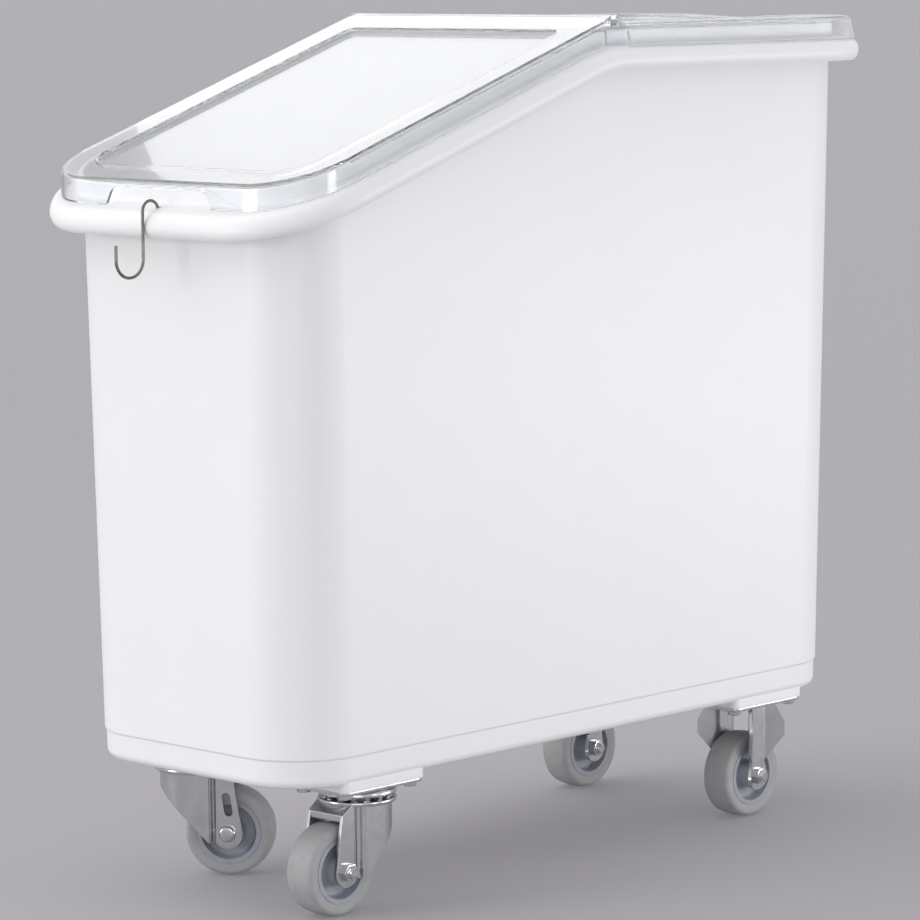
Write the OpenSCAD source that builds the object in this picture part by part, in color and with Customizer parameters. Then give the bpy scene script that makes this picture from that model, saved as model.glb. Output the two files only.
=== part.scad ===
// Rolling flour bin: a slant-topped tub on four casters, with a hinged clear front lid,
// a lift-off clear rear cover and a wire hook for the scoop.
// Length runs along Y with the low end at -Y, width along X, and the floor is z = 0.
// The pieces are drawn about the middle of the rim, and then placed about the middle of the whole.

/* [Tub] */
// Length over the rim
rim_length = 744; // [690:1:800]
// Width over the rim
rim_width = 330; // [310:1:380]
// Plan radius of the rim corners
rim_corner_r = 83; // [76:1:92]
// Height from the tub's underside to the rim's top face at the rear
tub_height = 575.5; // [520:0.5:640]
// Slant of the front half of the rim
slant_angle = 18.5; // [15:0.5:21]
// Place along Y where the slant ends
kink_y = 0; // [-15:1:15]
// How far the rim stands out from the wall
rim_overhang = 26; // [24:0.5:30]
// Height of the rolled rim
rim_height = 19.3; // [17:0.1:23]
// Reach of the rounded nose of the rim
rim_nose = 9; // [8:0.5:10]
// Thickness of the rolled rim
rim_wall = 4.5; // [3.5:0.5:5.5]
// Thickness of the tub's wall
tub_wall = 4.5; // [3.5:0.5:5.5]
// Thickness of the tub's floor
tub_floor = 6; // [5:0.5:8]
// How far each wall leans in from rim to floor
wall_draft = 6.5; // [5:0.5:10]
// Plan radius of the corners at the floor
floor_corner_r = 62; // [56:1:72]
// Radius of the outer bottom edge
bottom_edge_r = 7; // [5:0.5:10]
// Height of the set-in band round the bottom
band_height = 24; // [20:1:30]
// How far the band is set in
band_step = 1.4; // [1:0.1:2.5]
// Height of the lip inside the lids, above the rim's top face
lip_height = 12.6; // [10:0.2:15]
// Thickness of the lip
lip_wall = 4; // [3:0.5:5]
// How far the lip stands outside the wall
lip_offset = 2; // [1:0.5:3]
// Length of a caster pad
pad_length = 92; // [90:1:100]
// Width of a caster pad
pad_width = 66; // [64:1:72]
// Height of a caster pad
pad_height = 6; // [5:0.5:9]

/* [Front lid] */
// Thickness of the lid and cover sheet
lid_sheet = 3; // [2.5:0.1:3.5]
// Set-back of the lid from the rim's side edge
lid_side_inset = 11; // [10:0.5:13]
// Set-back of the lid from the rim's front edge
lid_front_inset = 14.5; // [13.5:0.5:16]
// Plan radius of the lid's front corners
lid_corner_r = 62; // [52:1:70]
// Width of the raised frame at the front and sides of the lid panel
lid_frame = 32; // [28:1:38]
// Width of the raised frame between the lid panel and the kink
lid_rear_frame = 21.4; // [18:0.2:26]
// Depth of the sunk panel in the lid
panel_depth = 7.5; // [5:0.5:9]
// Plan radius of the panel's front corners and of the cover's panel corners
panel_corner_r = 25; // [18:1:30]
// Plan radius of the lid panel's rear corners
panel_rear_r = 8; // [5:0.5:12]
// Width of the thumb notch at its foot
notch_width = 122; // [100:1:140]
// Height of the thumb notch
notch_height = 15.6; // [13:0.2:16.4]
// Corner radius of the thumb notch
notch_r = 6; // [4:0.5:8]

/* [Rear cover] */
// Set-back of the cover's skirt from the rim's edge
cover_inset = 3.5; // [3:0.5:6]
// Rise of the cover's frame above the tub's lip
cover_rise = 6.1; // [5:0.1:7]
// How far the skirt leans in from foot to shoulder
cover_draft = 3.5; // [3:0.5:5]
// Width of the raised frame round the cover panel
cover_frame = 40; // [36:1:46]
// Depth of the sunk panel in the cover
cover_panel_depth = 6.5; // [4:0.5:8]
// Width of the finger dip in the rear edge
dip_width = 150; // [110:1:160]
// Depth of the finger dip in the rear edge
dip_depth = 2.5; // [1.5:0.1:2.6]

/* [Lid hinge] */
// Distance of the hinge axis behind the kink
hinge_set_back = 14.5; // [13:0.5:17]
// Diameter of a hinge pin
hinge_pin_d = 3; // [2.5:0.1:4]
// Length of a hinge pin
hinge_pin_length = 15; // [12:1:20]
// Diameter of the lid's hinge barrel
barrel_d = 9; // [8:0.5:10]
// Thickness of a hinge lug
lug_wall = 5; // [4:0.5:6]
// Thickness of the ledge under the hinge
ledge_sheet = 2.4; // [2:0.1:3]

/* [Scoop hook] */
// Diameter of the hook wire
wire_d = 2.5; // [2:0.1:3.2]
// Centre radius of the upper bend
upper_bend_r = 8.25; // [7.75:0.25:9]
// Length of the straight shank
shank_length = 37; // [28:1:60]
// Centre radius of the lower bend
lower_bend_r = 14.2; // [10:0.2:20]
// Length of the straight end past the lower bend
hook_tip = 12; // [5:1:25]
// Diameter of the hole in the rim that the hook hangs in
hook_hole_d = 5; // [4.6:0.1:6]

/* [Casters] */
// Set-in of a caster's centre from the rim's side edge
caster_side_inset = 68.5; // [67:0.5:73]
// Set-in of a caster's centre from the rim's end edge
caster_end_inset = 131.5; // [117:0.5:157]
// Overall height of a caster
caster_height = 104.5; // [103:0.5:115]
// Height of a caster's head, from the wheel's top to the plate's top
head_height = 29.5; // [28:0.5:40]
// Width of the tread
wheel_width = 28; // [24:1:30]
// Thickness of the tyre
tyre_wall = 10.5; // [9:0.5:12]
// Rounding of the tyre shoulders
tyre_edge_r = 5; // [3:0.5:7]
// Rise of the tread's middle over its shoulders
tyre_crown = 1; // [0.5:0.1:2]
// How far the hub boss stands out past the tread on each side
boss_reach = 2.5; // [1.5:0.1:3]
// Diameter of the wheel boss
boss_d = 22; // [18:1:25]
// Thickness of the hub web
hub_web = 9; // [7:0.5:12]
// Thickness of the hub rim
hub_rim = 4; // [3:0.5:5]
// Diameter of the axle bolt
axle_d = 8; // [6:0.5:9]
// Wall of the axle sleeve
sleeve_wall = 2; // [1.5:0.1:2.5]
// Diameter of the axle bolt's round head
axle_head_d = 14; // [12:0.5:17]
// Height of the axle bolt's head
axle_head = 4; // [3:0.5:5]
// Across flats of the axle nut
axle_flats = 13; // [12:0.5:15]
// Height of the axle nut
axle_nut_height = 6.5; // [5:0.5:8]
// Thickness of the fork sheet
fork_sheet = 2.8; // [2.4:0.1:3.2]
// Width of a fork leg at the axle
leg_width = 25.4; // [23:0.2:27]
// Length of a caster plate
plate_length = 90; // [88:1:96]
// Width of a caster plate
plate_width = 64; // [62:1:70]
// Thickness of a caster plate
plate_sheet = 3; // [2.6:0.1:4]
// Corner radius of a caster plate
plate_corner_r = 6; // [3:0.5:9]
// Screw spacing along a plate
screw_span_y = 74; // [73:0.5:76]
// Screw spacing across a plate
screw_span_x = 46; // [45:0.5:50]
// Diameter of a plate screw
screw_d = 6; // [5:0.5:7]
// Across flats of a plate screw's head
screw_flats = 10; // [9:0.5:10.5]
// Height of a plate screw's head
screw_head = 4; // [3:0.5:5]

/* [Swivel casters] */
// Offset of the axle from the swivel axis
trail = 31; // [29:0.5:33]
// Turn of the front left fork about its swivel axis
front_left_turn = 127.7; // [0:0.1:360]
// Turn of the front right fork about its swivel axis
front_right_turn = 0; // [0:0.1:360]
// Diameter of the ball races
race_d = 64; // [62:1:66]
// Diameter of a bearing ball
ball_d = 6; // [5:0.5:6.5]
// Distance of the balls' centres from the edge of the race
ball_inset = 7; // [6:0.5:8]
// Count of bearing balls in a ring
ball_count = 14; // [10:1:18]
// Gap between the two races
race_gap = 3; // [2:0.1:3.5]
// Height of the upper race under the plate
race_height = 6; // [5:0.5:7]
// Thickness of the fork crown
crown_sheet = 4; // [3.5:0.1:4.6]
// Diameter of the king pin
king_pin_d = 12; // [10:0.5:14]
// Diameter of the king pin's head
king_head_d = 18; // [16:0.5:20]
// Height of the king pin's head
king_head = 3; // [2:0.5:4]
// How far the legs' front edges lean back at their tops
leg_lean = 8; // [6:0.5:10]
// Drop from the crown to the bend of the legs and of the apron between them
apron_drop = 5.5; // [3.5:0.5:6.5]
// Gap between the apron and the tread
apron_gap = 2.6; // [2:0.1:4]
// Width over the cowl behind the legs
cowl_width = 51.6; // [48:0.2:54]
// Reach of the cowl behind the swivel axis
cowl_back = 28; // [26:0.5:30]
// Plan radius of the cowl's corners
cowl_corner_r = 14; // [10:0.5:18]
// Drop of the cowl's lower edge below the axle, at the legs
toe_drop = 6.5; // [3.5:0.5:8.5]
// Drop of the cowl's lower edge below the crown, at its back
heel_drop = 10.5; // [6.5:0.5:14.5]
// Width of the slot in the left leg
slot_width = 7; // [5:0.5:8]
// Length of the slot in the left leg
slot_length = 20; // [14:0.5:22]
// Height of the slot's centre above the axle
slot_rise = 24.5; // [23:0.5:27]
// Lean of the slot
slot_lean = 9; // [5:0.5:12]

/* [Rigid casters] */
// Width of a rigid fork's leg under the plate
rigid_leg_width = 23; // [22:0.5:26]
// Reach of the stiffening wings on a rigid fork
wing_reach = 17; // [12:0.5:18]
// Length of the wings' foot along the plate
wing_foot = 8; // [5:0.5:10]

/* [Hidden] */

// Clearance of a running fit, on the radius
run_fit = 0.05;
// Gap between pieces that rest on one another and lift apart
rest_gap = 0.3;
// Gap between the hook and the front of its hole, for its swing
hook_play = 0.7;
// Gap round the hinge barrel
barrel_gap = 0.5;
// Gap between the wheel boss and each fork leg
side_play = 0.5;
// Overrun of every cut past the surface it opens
overrun = 1;
// Distance that the lid's skirt stops short of the kink
skirt_stop = 2;
// Depth by which joined solids run into one another
bond = 1;
// Share of the race's radius at which the apron meets the crown
apron_share = 0.8;
// Lean of a sunk panel's walls, as a share of its depth
lean_share = 0.27;
// Lean of the thumb notch's sides, as a share of its height
notch_share = 0.5;
// Depth of a wing's outer edge, as a share of its reach
wing_share = 0.7;
// Size of the small flats at hub and head edges, as a share of the part's own thickness
edge_share = 0.25;
// Facets of the true curves
$fn = 48;
// Steps round one plan corner of a swept ring
corner_steps = 9;
// Sides of the hook wire
wire_sides = 20;

// Tub
tub_bottom = caster_height + pad_height;
rim_top = tub_bottom + tub_height;
slope = tan(slant_angle);
rim_half_w = rim_width / 2;
rim_half_l = rim_length / 2;
wall_half_w = rim_half_w - rim_overhang;
wall_half_l = rim_half_l - rim_overhang;
wall_corner_r = rim_corner_r - rim_overhang;
lip_inset = rim_overhang - lip_offset;
inner_edge_r = bottom_edge_r - tub_wall + tub_floor;
edge_angles = [0, 30, 60, 90];

// Nose of the rim, from under the rim to its flat top
nose_angles = [-55, -30, 0, 30, 60, 90];
nose_half = rim_height / (1 - sin(nose_angles[0]));
nose_mid = rim_top - nose_half;
rim_low = rim_top - rim_height;
roll_inset = rim_nose * (1 - cos(nose_angles[0])) + rim_wall / 2;

// Lids and hinge
ledge_bottom = rim_top + lip_height + rest_gap;
ledge_top = ledge_bottom + ledge_sheet;
ledge_front = kink_y + rest_gap;
hinge_y = kink_y + hinge_set_back;
hinge_z = ledge_top + barrel_gap + barrel_d / 2;
lid_top = hinge_z;
lid_foot = rim_top + rest_gap;
lid_height = lid_top - lid_foot;
lid_half_w = rim_half_w - lid_side_inset;
lid_front = rim_half_l - lid_front_inset;
panel_rear_inset = hinge_set_back + lid_rear_frame;
lug_outer = lid_half_w - rest_gap;
lug_inner = lug_outer - lug_wall;
barrel_half = lug_inner - barrel_gap;
cover_top = ledge_bottom + cover_rise;
cover_half_w = rim_half_w - cover_inset;
cover_rear = rim_half_l - cover_inset;
cover_front = hinge_y + barrel_d / 2 + 2 * rest_gap;
dip_shares = [0.5, 0.375, 0.25, 0.125, 0, -0.125, -0.25, -0.375, -0.5];

// Scoop hook
wire_r = wire_d / 2;
hook_y = -rim_half_l - wire_r - rest_gap;
hook_bend_y = hook_y + upper_bend_r;
hook_tip_y = hook_bend_y + upper_bend_r;
hook_bend_z = rim_top + slope * (hook_tip_y - kink_y) - wire_d;
hook_hole_y = hook_tip_y + hook_hole_d / 2 - wire_r - hook_play;
hook_tail = 2 * wire_d;
lower_bend_z = hook_bend_z - shank_length;
hook_front = hook_y - 2 * lower_bend_r - wire_r;
middle_y = (rim_half_l + hook_front) / 2;

// Casters
caster_track = rim_width - 2 * caster_side_inset;
caster_base = rim_length - 2 * caster_end_inset;
wheel_d = caster_height - head_height;
axle_z = wheel_d / 2;
plate_bottom = caster_height - plate_sheet;
hub_half = wheel_width / 2 + boss_reach;
leg_inner = hub_half + side_play;
leg_outer = leg_inner + fork_sheet;
leg_r = leg_width / 2;
hub_r = wheel_d / 2 - tyre_wall;
axle_bore_d = axle_d + 2 * run_fit;
sleeve_d = axle_bore_d + 2 * sleeve_wall;
race_r = race_d / 2;
ball_ring_r = race_r - ball_inset;
race_bottom = plate_bottom - race_height;
crown_top = race_bottom - race_gap;
crown_bottom = crown_top - crown_sheet;
ball_z = (race_bottom + crown_top) / 2;
leg_rear = leg_r - trail;
apron_front = leg_lean - leg_r - trail;
apron_bend = crown_bottom - apron_drop;
apron_low = wheel_d + apron_gap;
cowl_toe = axle_z - toe_drop;
cowl_heel = crown_bottom - heel_drop;
apron_rear = -race_r * apron_share;
screw_top = caster_height + pad_height + tub_floor / 2;

// Plan outline with round corners, from the front right corner round to the front left.
// It has a point on each long side at mid_y, and points along the rear edge at rear_x.
function ring(half_w, front, rear, front_r, rear_r, mid_y, rear_x) = concat(
    [for (i = [0 : corner_steps])
        let (a = -90 + 90 * i / corner_steps)
        [half_w - front_r + front_r * cos(a), front + front_r + front_r * sin(a)]],
    [[half_w, mid_y]],
    [for (i = [0 : corner_steps])
        let (a = 90 * i / corner_steps)
        [half_w - rear_r + rear_r * cos(a), rear - rear_r + rear_r * sin(a)]],
    [for (x = rear_x) [x, rear]],
    [for (i = [0 : corner_steps])
        let (a = 90 + 90 * i / corner_steps)
        [rear_r - half_w + rear_r * cos(a), rear - rear_r + rear_r * sin(a)]],
    [[-half_w, mid_y]],
    [for (i = [0 : corner_steps])
        let (a = 180 + 90 * i / corner_steps)
        [front_r - half_w + front_r * cos(a), front + front_r + front_r * sin(a)]]);

// Oblong outline with round ends, its length along the second axis
function oblong(width, length) =
    let (r = width / 2, half = length / 2 - width / 2)
    [for (a = [0 : 15 : 345]) [r * cos(a), r * sin(a) + (a < 180 ? half : -half)]];

// Closed skin over a stack of rings, capped at the first and the last
module skin(rings) {
    count = len(rings[0]);
    sides = [for (i = [0 : len(rings) - 2])
             for (j = [0 : count - 1])
             let (a = i * count + j, b = i * count + (j + 1) % count)
             for (face = [[a, a + count, b + count], [a, b + count, b]]) face];
    first_cap = [for (j = [0 : count - 1]) j];
    last_cap = [for (j = [count - 1 : -1 : 0]) (len(rings) - 1) * count + j];
    polyhedron([for (r = rings) for (p = r) p], concat(sides, [first_cap, last_cap]), convexity = 8);
}

// Height of a slanted edge at a place along Y: level behind the kink
function slanted(z, y) = z + slope * min(y - kink_y, 0);

// Ring of the rim at a set-back from its edge, following the slant
function rim_ring(inset, z) =
    let (r = rim_corner_r - inset)
    [for (p = ring(rim_half_w - inset, inset - rim_half_l, rim_half_l - inset, r, r, kink_y, []))
        [p[0], p[1], slanted(z, p[1])]];

// Plan outline of the drafted wall at a height, set in by an inset
function wall_plan(inset, z) =
    let (share = (rim_top - z) / tub_height,
         back = wall_draft * share + inset,
         r = wall_corner_r + (floor_corner_r - wall_corner_r) * share - inset)
    ring(wall_half_w - back, back - wall_half_l, wall_half_l - back, r, r, kink_y, []);

// Level ring of the wall
function wall_ring(inset, z) = [for (p = wall_plan(inset, z)) [p[0], p[1], z]];

// Ring of the wall that follows the slant and stays on the drafted faces
function slant_wall_ring(inset, z) =
    let (base = wall_plan(inset, z))
    [for (i = [0 : len(base) - 1])
        let (height = slanted(z, base[i][1]), p = wall_plan(inset, height)[i])
        [p[0], p[1], height]];

// Ring of the front lid at a drop below its slanted top plane
function lid_ring(inset, rear_inset, front_r, rear_r, drop) =
    [for (p = ring(lid_half_w - inset, inset - lid_front, hinge_y - rear_inset, front_r, rear_r,
                   kink_y - lid_front / 2, []))
        [p[0], p[1], lid_top + slope * (p[1] - kink_y) - drop]];

// Depth of the finger dip at a place across the rear edge
function dip(x) = abs(x) < dip_width / 2 ? dip_depth * (1 + cos(360 * x / dip_width)) / 2 : 0;

// Ring of the rear cover, with a share of the dip in its rear edge
function cover_ring(inset, front_inset, front_r, rear_r, z, dip_share) =
    let (rear = cover_rear - inset)
    [for (p = ring(cover_half_w - inset, cover_front + front_inset, rear, front_r, rear_r,
                   cover_rear / 2, [for (s = dip_shares) s * dip_width]))
        [p[0], p[1], z - (p[1] == rear ? dip_share * dip(p[0]) : 0)]];

// Block centred on x and y, standing on z = 0
module block(x, y, z) {
    translate([-x / 2, -y / 2, 0]) cube([x, y, z]);
}

// Rod along X, centred on the origin
module rod(d, length) {
    rotate([0, 90, 0]) cylinder(d = d, h = length, center = true);
}

// Outline in Y and Z, drawn out along X and centred
module side_sheet(outline, width) {
    rotate([90, 0, 90])
        translate([0, 0, -width / 2])
            linear_extrude(width)
                polygon(outline);
}

module at_screws() {
    for (x = [-1, 1], y = [-1, 1])
        translate([x * screw_span_x / 2, y * screw_span_y / 2, 0]) children();
}

// Place of a caster: side is -1 or 1 across the bin, end is -1 for the front
module at_caster(side, end, turn) {
    translate([side * caster_track / 2, end * caster_base / 2, 0])
        rotate([0, 0, turn])
            children();
}

module at_swivel_axle() {
    translate([0, -trail, axle_z]) children();
}

module at_rigid_axle() {
    translate([0, 0, axle_z]) children();
}

module tub_shell() {
    outer_low = [for (a = edge_angles)
        wall_ring(band_step + bottom_edge_r * (1 - sin(a)), tub_bottom + bottom_edge_r * (1 - cos(a)))];
    band = [wall_ring(band_step, tub_bottom + band_height - band_step),
            wall_ring(0, tub_bottom + band_height)];
    rim_under = [slant_wall_ring(0, rim_top - rim_wall),
                 rim_ring(roll_inset, rim_top - rim_wall),
                 rim_ring(roll_inset, rim_low)];
    nose = [for (a = nose_angles)
        rim_ring(rim_nose * (1 - cos(a)), nose_mid + nose_half * sin(a))];
    lip = [rim_ring(lip_inset, rim_top),
           rim_ring(lip_inset, rim_top + lip_height),
           rim_ring(lip_inset + lip_wall, rim_top + lip_height)];
    inside_top = [slant_wall_ring(tub_wall, rim_top - rim_wall)];
    inside_low = [for (i = [len(edge_angles) - 1 : -1 : 0])
        let (a = edge_angles[i])
        wall_ring(tub_wall + band_step + inner_edge_r * (1 - sin(a)),
                  tub_bottom + tub_floor + inner_edge_r * (1 - cos(a)))];
    skin(concat(outer_low, band, rim_under, nose, lip, inside_top, inside_low));
}

module tub() {
    hole_depth = screw_top + rest_gap - caster_height;
    color("white")
    difference() {
        union() {
            tub_shell();
            for (side = [-1, 1], end = [-1, 1])
                at_caster(side, end, 0)
                    translate([0, 0, caster_height])
                        block(pad_width, pad_length, pad_height + tub_floor / 2);
        }
        translate([0, hook_hole_y, hook_bend_z - rim_height / 2])
            cylinder(d = hook_hole_d, h = rim_height);
        for (side = [-1, 1], end = [-1, 1])
            at_caster(side, end, 0)
                at_screws()
                    translate([0, 0, caster_height - overrun])
                        cylinder(d = screw_d + 2 * run_fit, h = hole_depth + overrun);
    }
}

// Thumb notch seen from the front: its sides lean in to a rounded top
function notch_outline() =
    let (top_half = notch_width / 2 - notch_height * notch_share, foot = notch_r * edge_share)
    concat(
        [[-notch_width / 2, -overrun], [notch_width / 2, -overrun], [notch_width / 2 - foot, foot]],
        [for (a = [30 : 20 : 90])
            [top_half - notch_r + notch_r * cos(a), notch_height - notch_r + notch_r * sin(a)]],
        [for (a = [90 : 20 : 150])
            [notch_r - top_half + notch_r * cos(a), notch_height - notch_r + notch_r * sin(a)]],
        [[foot - notch_width / 2, foot]]);

module front_lid() {
    lean = panel_depth * lean_share;
    edge = lid_sheet / 2;
    small = edge * edge_share;
    panel_r = panel_corner_r;
    rear_r = panel_rear_r;
    under_r = panel_corner_r + lid_sheet;
    under_rear_r = panel_rear_r + lid_sheet;
    rings = [
        lid_ring(lid_frame + lean - lid_sheet, panel_rear_inset + lean - lid_sheet, under_r, under_rear_r,
                 panel_depth + lid_sheet),
        lid_ring(lid_frame - lid_sheet, panel_rear_inset - lid_sheet, under_r, under_rear_r, lid_sheet),
        lid_ring(lid_sheet + edge, lid_sheet, lid_corner_r - lid_sheet - edge, lid_sheet, lid_sheet),
        lid_ring(lid_sheet, lid_sheet, lid_corner_r - lid_sheet, lid_sheet, lid_height),
        lid_ring(0, 0, lid_corner_r, lid_sheet, lid_height),
        lid_ring(small, 0, lid_corner_r - small, lid_sheet, lid_sheet),
        lid_ring(edge, 0, lid_corner_r - edge, lid_sheet, edge / 2),
        lid_ring(2 * edge, 0, lid_corner_r - 2 * edge, lid_sheet, 0),
        lid_ring(lid_frame, panel_rear_inset, panel_r, rear_r, 0),
        lid_ring(lid_frame + lean, panel_rear_inset + lean, panel_r, rear_r, panel_depth)];
    notch_foot = lid_foot - slope * (lid_front + kink_y);
    skirt_rear = kink_y - skirt_stop;
    trim_rear = hinge_y + barrel_d;
    trim_z = lid_top - lid_sheet + run_fit;
    trim_outline = [[skirt_rear, rim_low],
                    [trim_rear, rim_low],
                    [trim_rear, trim_z + slope * (trim_rear - kink_y)],
                    [skirt_rear, trim_z + slope * (skirt_rear - kink_y)]];
    corner_w = lid_half_w - barrel_half + overrun;
    color("gainsboro", 0.5)
    difference() {
        union() {
            difference() {
                skin(rings);
                side_sheet(trim_outline, rim_width);
                translate([0, lid_corner_r / 2 - lid_front, notch_foot])
                    rotate([90, 0, 0])
                        linear_extrude(lid_corner_r)
                            polygon(notch_outline());
            }
            translate([0, hinge_y, hinge_z]) rod(barrel_d, 2 * barrel_half);
        }
        for (x = [-1, 1]) {
            translate([x * (barrel_half + corner_w / 2), hinge_y, hinge_z - barrel_d])
                block(corner_w, 2 * barrel_d - barrel_gap, 2 * barrel_d);
            translate([x * barrel_half, hinge_y, hinge_z])
                rod(hinge_pin_d + 2 * run_fit, 2 * hinge_pin_length);
        }
    }
}

module rear_cover() {
    lean = cover_panel_depth * lean_share;
    foot_r = rim_corner_r - cover_inset;
    shoulder = cover_top - lid_sheet;
    panel_r = panel_corner_r + lean;
    under_r = panel_r + lid_sheet;
    rings = [
        cover_ring(cover_frame + lean - lid_sheet, cover_frame + lean - lid_sheet, under_r, under_r,
                   cover_top - cover_panel_depth - lid_sheet, 0),
        cover_ring(cover_frame - lid_sheet, cover_frame - lid_sheet, under_r, under_r, shoulder, 1),
        cover_ring(2 * cover_draft, lid_sheet, lid_sheet, foot_r - 2 * cover_draft, shoulder, 1),
        cover_ring(cover_draft + lid_sheet, lid_sheet, lid_sheet, foot_r - cover_draft - lid_sheet,
                   shoulder - lid_sheet / 2, 1),
        cover_ring(lid_sheet, lid_sheet, lid_sheet, foot_r - lid_sheet, lid_foot, 0),
        cover_ring(0, 0, lid_sheet, foot_r, lid_foot, 0),
        cover_ring(cover_draft, 0, lid_sheet, foot_r - cover_draft, shoulder, 1),
        cover_ring(2 * cover_draft, 0, lid_sheet, foot_r - 2 * cover_draft, cover_top, 1),
        cover_ring(cover_frame, cover_frame, panel_r, panel_r, cover_top, 1),
        cover_ring(cover_frame + lean, cover_frame + lean, panel_r, panel_r,
                   cover_top - cover_panel_depth, 0)];
    ledge_depth = cover_front - ledge_front + lid_sheet;
    cheek = lug_wall / 2;
    color("gainsboro", 0.5)
    difference() {
        union() {
            difference() {
                skin(rings);
                translate([0, cover_front, lid_foot - overrun])
                    block(2 * (lug_outer - cheek), 4 * lid_sheet, ledge_bottom - lid_foot + overrun);
            }
            translate([0, ledge_front + ledge_depth / 2, ledge_bottom])
                block(2 * lug_outer, ledge_depth, ledge_sheet);
            for (x = [-1, 1]) {
                translate([x * (lug_outer - cheek / 2), ledge_front + ledge_depth / 2, lid_foot])
                    block(cheek, ledge_depth, ledge_top - lid_foot);
                translate([x * (lug_inner + lug_wall / 2), hinge_y, ledge_bottom])
                    block(lug_wall, barrel_d - 2 * rest_gap, hinge_z - ledge_bottom);
                translate([x * (lug_inner + lug_wall / 2), hinge_y, hinge_z])
                    rod(barrel_d, lug_wall);
            }
        }
        translate([0, hinge_y, hinge_z]) rod(hinge_pin_d + 2 * run_fit, rim_width);
    }
}

module hinge_pins() {
    color("silver")
    for (x = [-1, 1])
        translate([x * (lug_outer - hinge_pin_length / 2), hinge_y, hinge_z])
            rod(hinge_pin_d, hinge_pin_length);
}

// Half ring of the hook wire, from +Y over the top to -Y
module wire_bend(bend_r) {
    rotate([90, 0, 90])
        rotate_extrude(angle = 180)
            translate([bend_r, 0])
                circle(d = wire_d, $fn = wire_sides);
}

// Straight run of the hook wire
module wire_run(length) {
    cylinder(d = wire_d, h = length, $fn = wire_sides);
}

// Out of the rim, over, down the shank and round the lower bend
module scoop_hook() {
    color("dimgray")
    union() {
        translate([0, hook_tip_y, hook_bend_z - hook_tail]) wire_run(hook_tail);
        translate([0, hook_bend_y, hook_bend_z]) wire_bend(upper_bend_r);
        translate([0, hook_y, lower_bend_z]) wire_run(shank_length);
        translate([0, hook_y - lower_bend_r, lower_bend_z]) rotate([180, 0, 0]) wire_bend(lower_bend_r);
        translate([0, hook_y - 2 * lower_bend_r, lower_bend_z]) wire_run(hook_tip);
    }
}

// Wheel pieces turn about X through the origin
module tyre() {
    half = wheel_width / 2;
    flank_r = axle_z - tyre_crown - tyre_edge_r;
    shoulder = [for (a = [0 : 22.5 : 90])
        [flank_r + tyre_edge_r * sin(a), half - tyre_edge_r + tyre_edge_r * cos(a)]];
    last = len(shoulder) - 1;
    color("darkgray")
    rotate([0, 90, 0])
        rotate_extrude($fn = 72)
            polygon(concat(
                [[hub_r + run_fit, -half], [hub_r + run_fit, half]],
                shoulder,
                [[axle_z, 0]],
                [for (i = [last : -1 : 0]) [shoulder[i][0], -shoulder[i][1]]]));
}

module hub() {
    rim_half = wheel_width / 2 - run_fit;
    web_half = hub_web / 2;
    rim_r = hub_r - hub_rim;
    boss_r = boss_d / 2;
    lean = hub_rim * edge_share;
    half_outline = [[rim_r, rim_half],
                    [rim_r - lean, web_half],
                    [boss_r + lean, web_half],
                    [boss_r, hub_half]];
    last = len(half_outline) - 1;
    bore_r = sleeve_d / 2 + run_fit;
    color("slategray")
    rotate([0, 90, 0])
        rotate_extrude()
            polygon(concat(
                [[bore_r, -hub_half]],
                [for (i = [last : -1 : 0]) [half_outline[i][0], -half_outline[i][1]]],
                [[hub_r, -rim_half], [hub_r, rim_half]],
                half_outline,
                [[bore_r, hub_half]]));
}

module axle_bolt() {
    shank_end = leg_outer + axle_nut_height + bond;
    shank_start = -leg_outer - axle_head / 2;
    head_r = axle_head_d / 2;
    flat = axle_head * edge_share;
    color("silver")
    union() {
        translate([-leg_outer, 0, 0])
            rotate([0, -90, 0])
                rotate_extrude()
                    polygon([[0, 0],
                             [head_r, 0],
                             [head_r, axle_head - 2 * flat],
                             [head_r - flat, axle_head - flat],
                             [head_r - 2 * flat, axle_head],
                             [0, axle_head]]);
        translate([(shank_start + shank_end) / 2, 0, 0]) rod(axle_d, shank_end - shank_start);
    }
}

module axle_nut() {
    color("silver")
    difference() {
        translate([leg_outer, 0, 0])
            rotate([0, 90, 0])
                cylinder(d = axle_flats / cos(30), h = axle_nut_height, $fn = 6);
        rod(axle_bore_d, 4 * leg_outer);
    }
}

module axle_sleeve() {
    color("silver")
    difference() {
        rod(sleeve_d, 2 * leg_inner);
        rod(axle_bore_d, 2 * leg_inner + 2 * overrun);
    }
}

module caster_plate() {
    half_l = plate_length / 2;
    difference() {
        translate([0, 0, plate_bottom])
            linear_extrude(plate_sheet)
                polygon(ring(plate_width / 2, -half_l, half_l, plate_corner_r, plate_corner_r, 0, []));
        at_screws()
            translate([0, 0, plate_bottom - overrun])
                cylinder(d = screw_d + 2 * run_fit, h = plate_sheet + 2 * overrun);
    }
}

// Groove in a race, round the swivel axis
module ball_groove() {
    translate([0, 0, ball_z])
        rotate_extrude()
            translate([ball_ring_r, 0])
                circle(d = ball_d + 2 * run_fit, $fn = 24);
}

module king_bore() {
    translate([0, 0, crown_bottom - overrun])
        cylinder(d = king_pin_d + 2 * run_fit, h = caster_height - crown_bottom + 2 * overrun);
}

module swivel_plate() {
    color("silver")
    difference() {
        union() {
            caster_plate();
            translate([0, 0, race_bottom])
                cylinder(d = race_d, h = race_height + plate_sheet / 2);
        }
        ball_groove();
        king_bore();
    }
}

module balls() {
    color("silver")
    for (i = [0 : ball_count - 1])
        rotate([0, 0, 360 * i / ball_count])
            translate([ball_ring_r, 0, ball_z])
                sphere(d = ball_d, $fn = 10);
}

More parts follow.
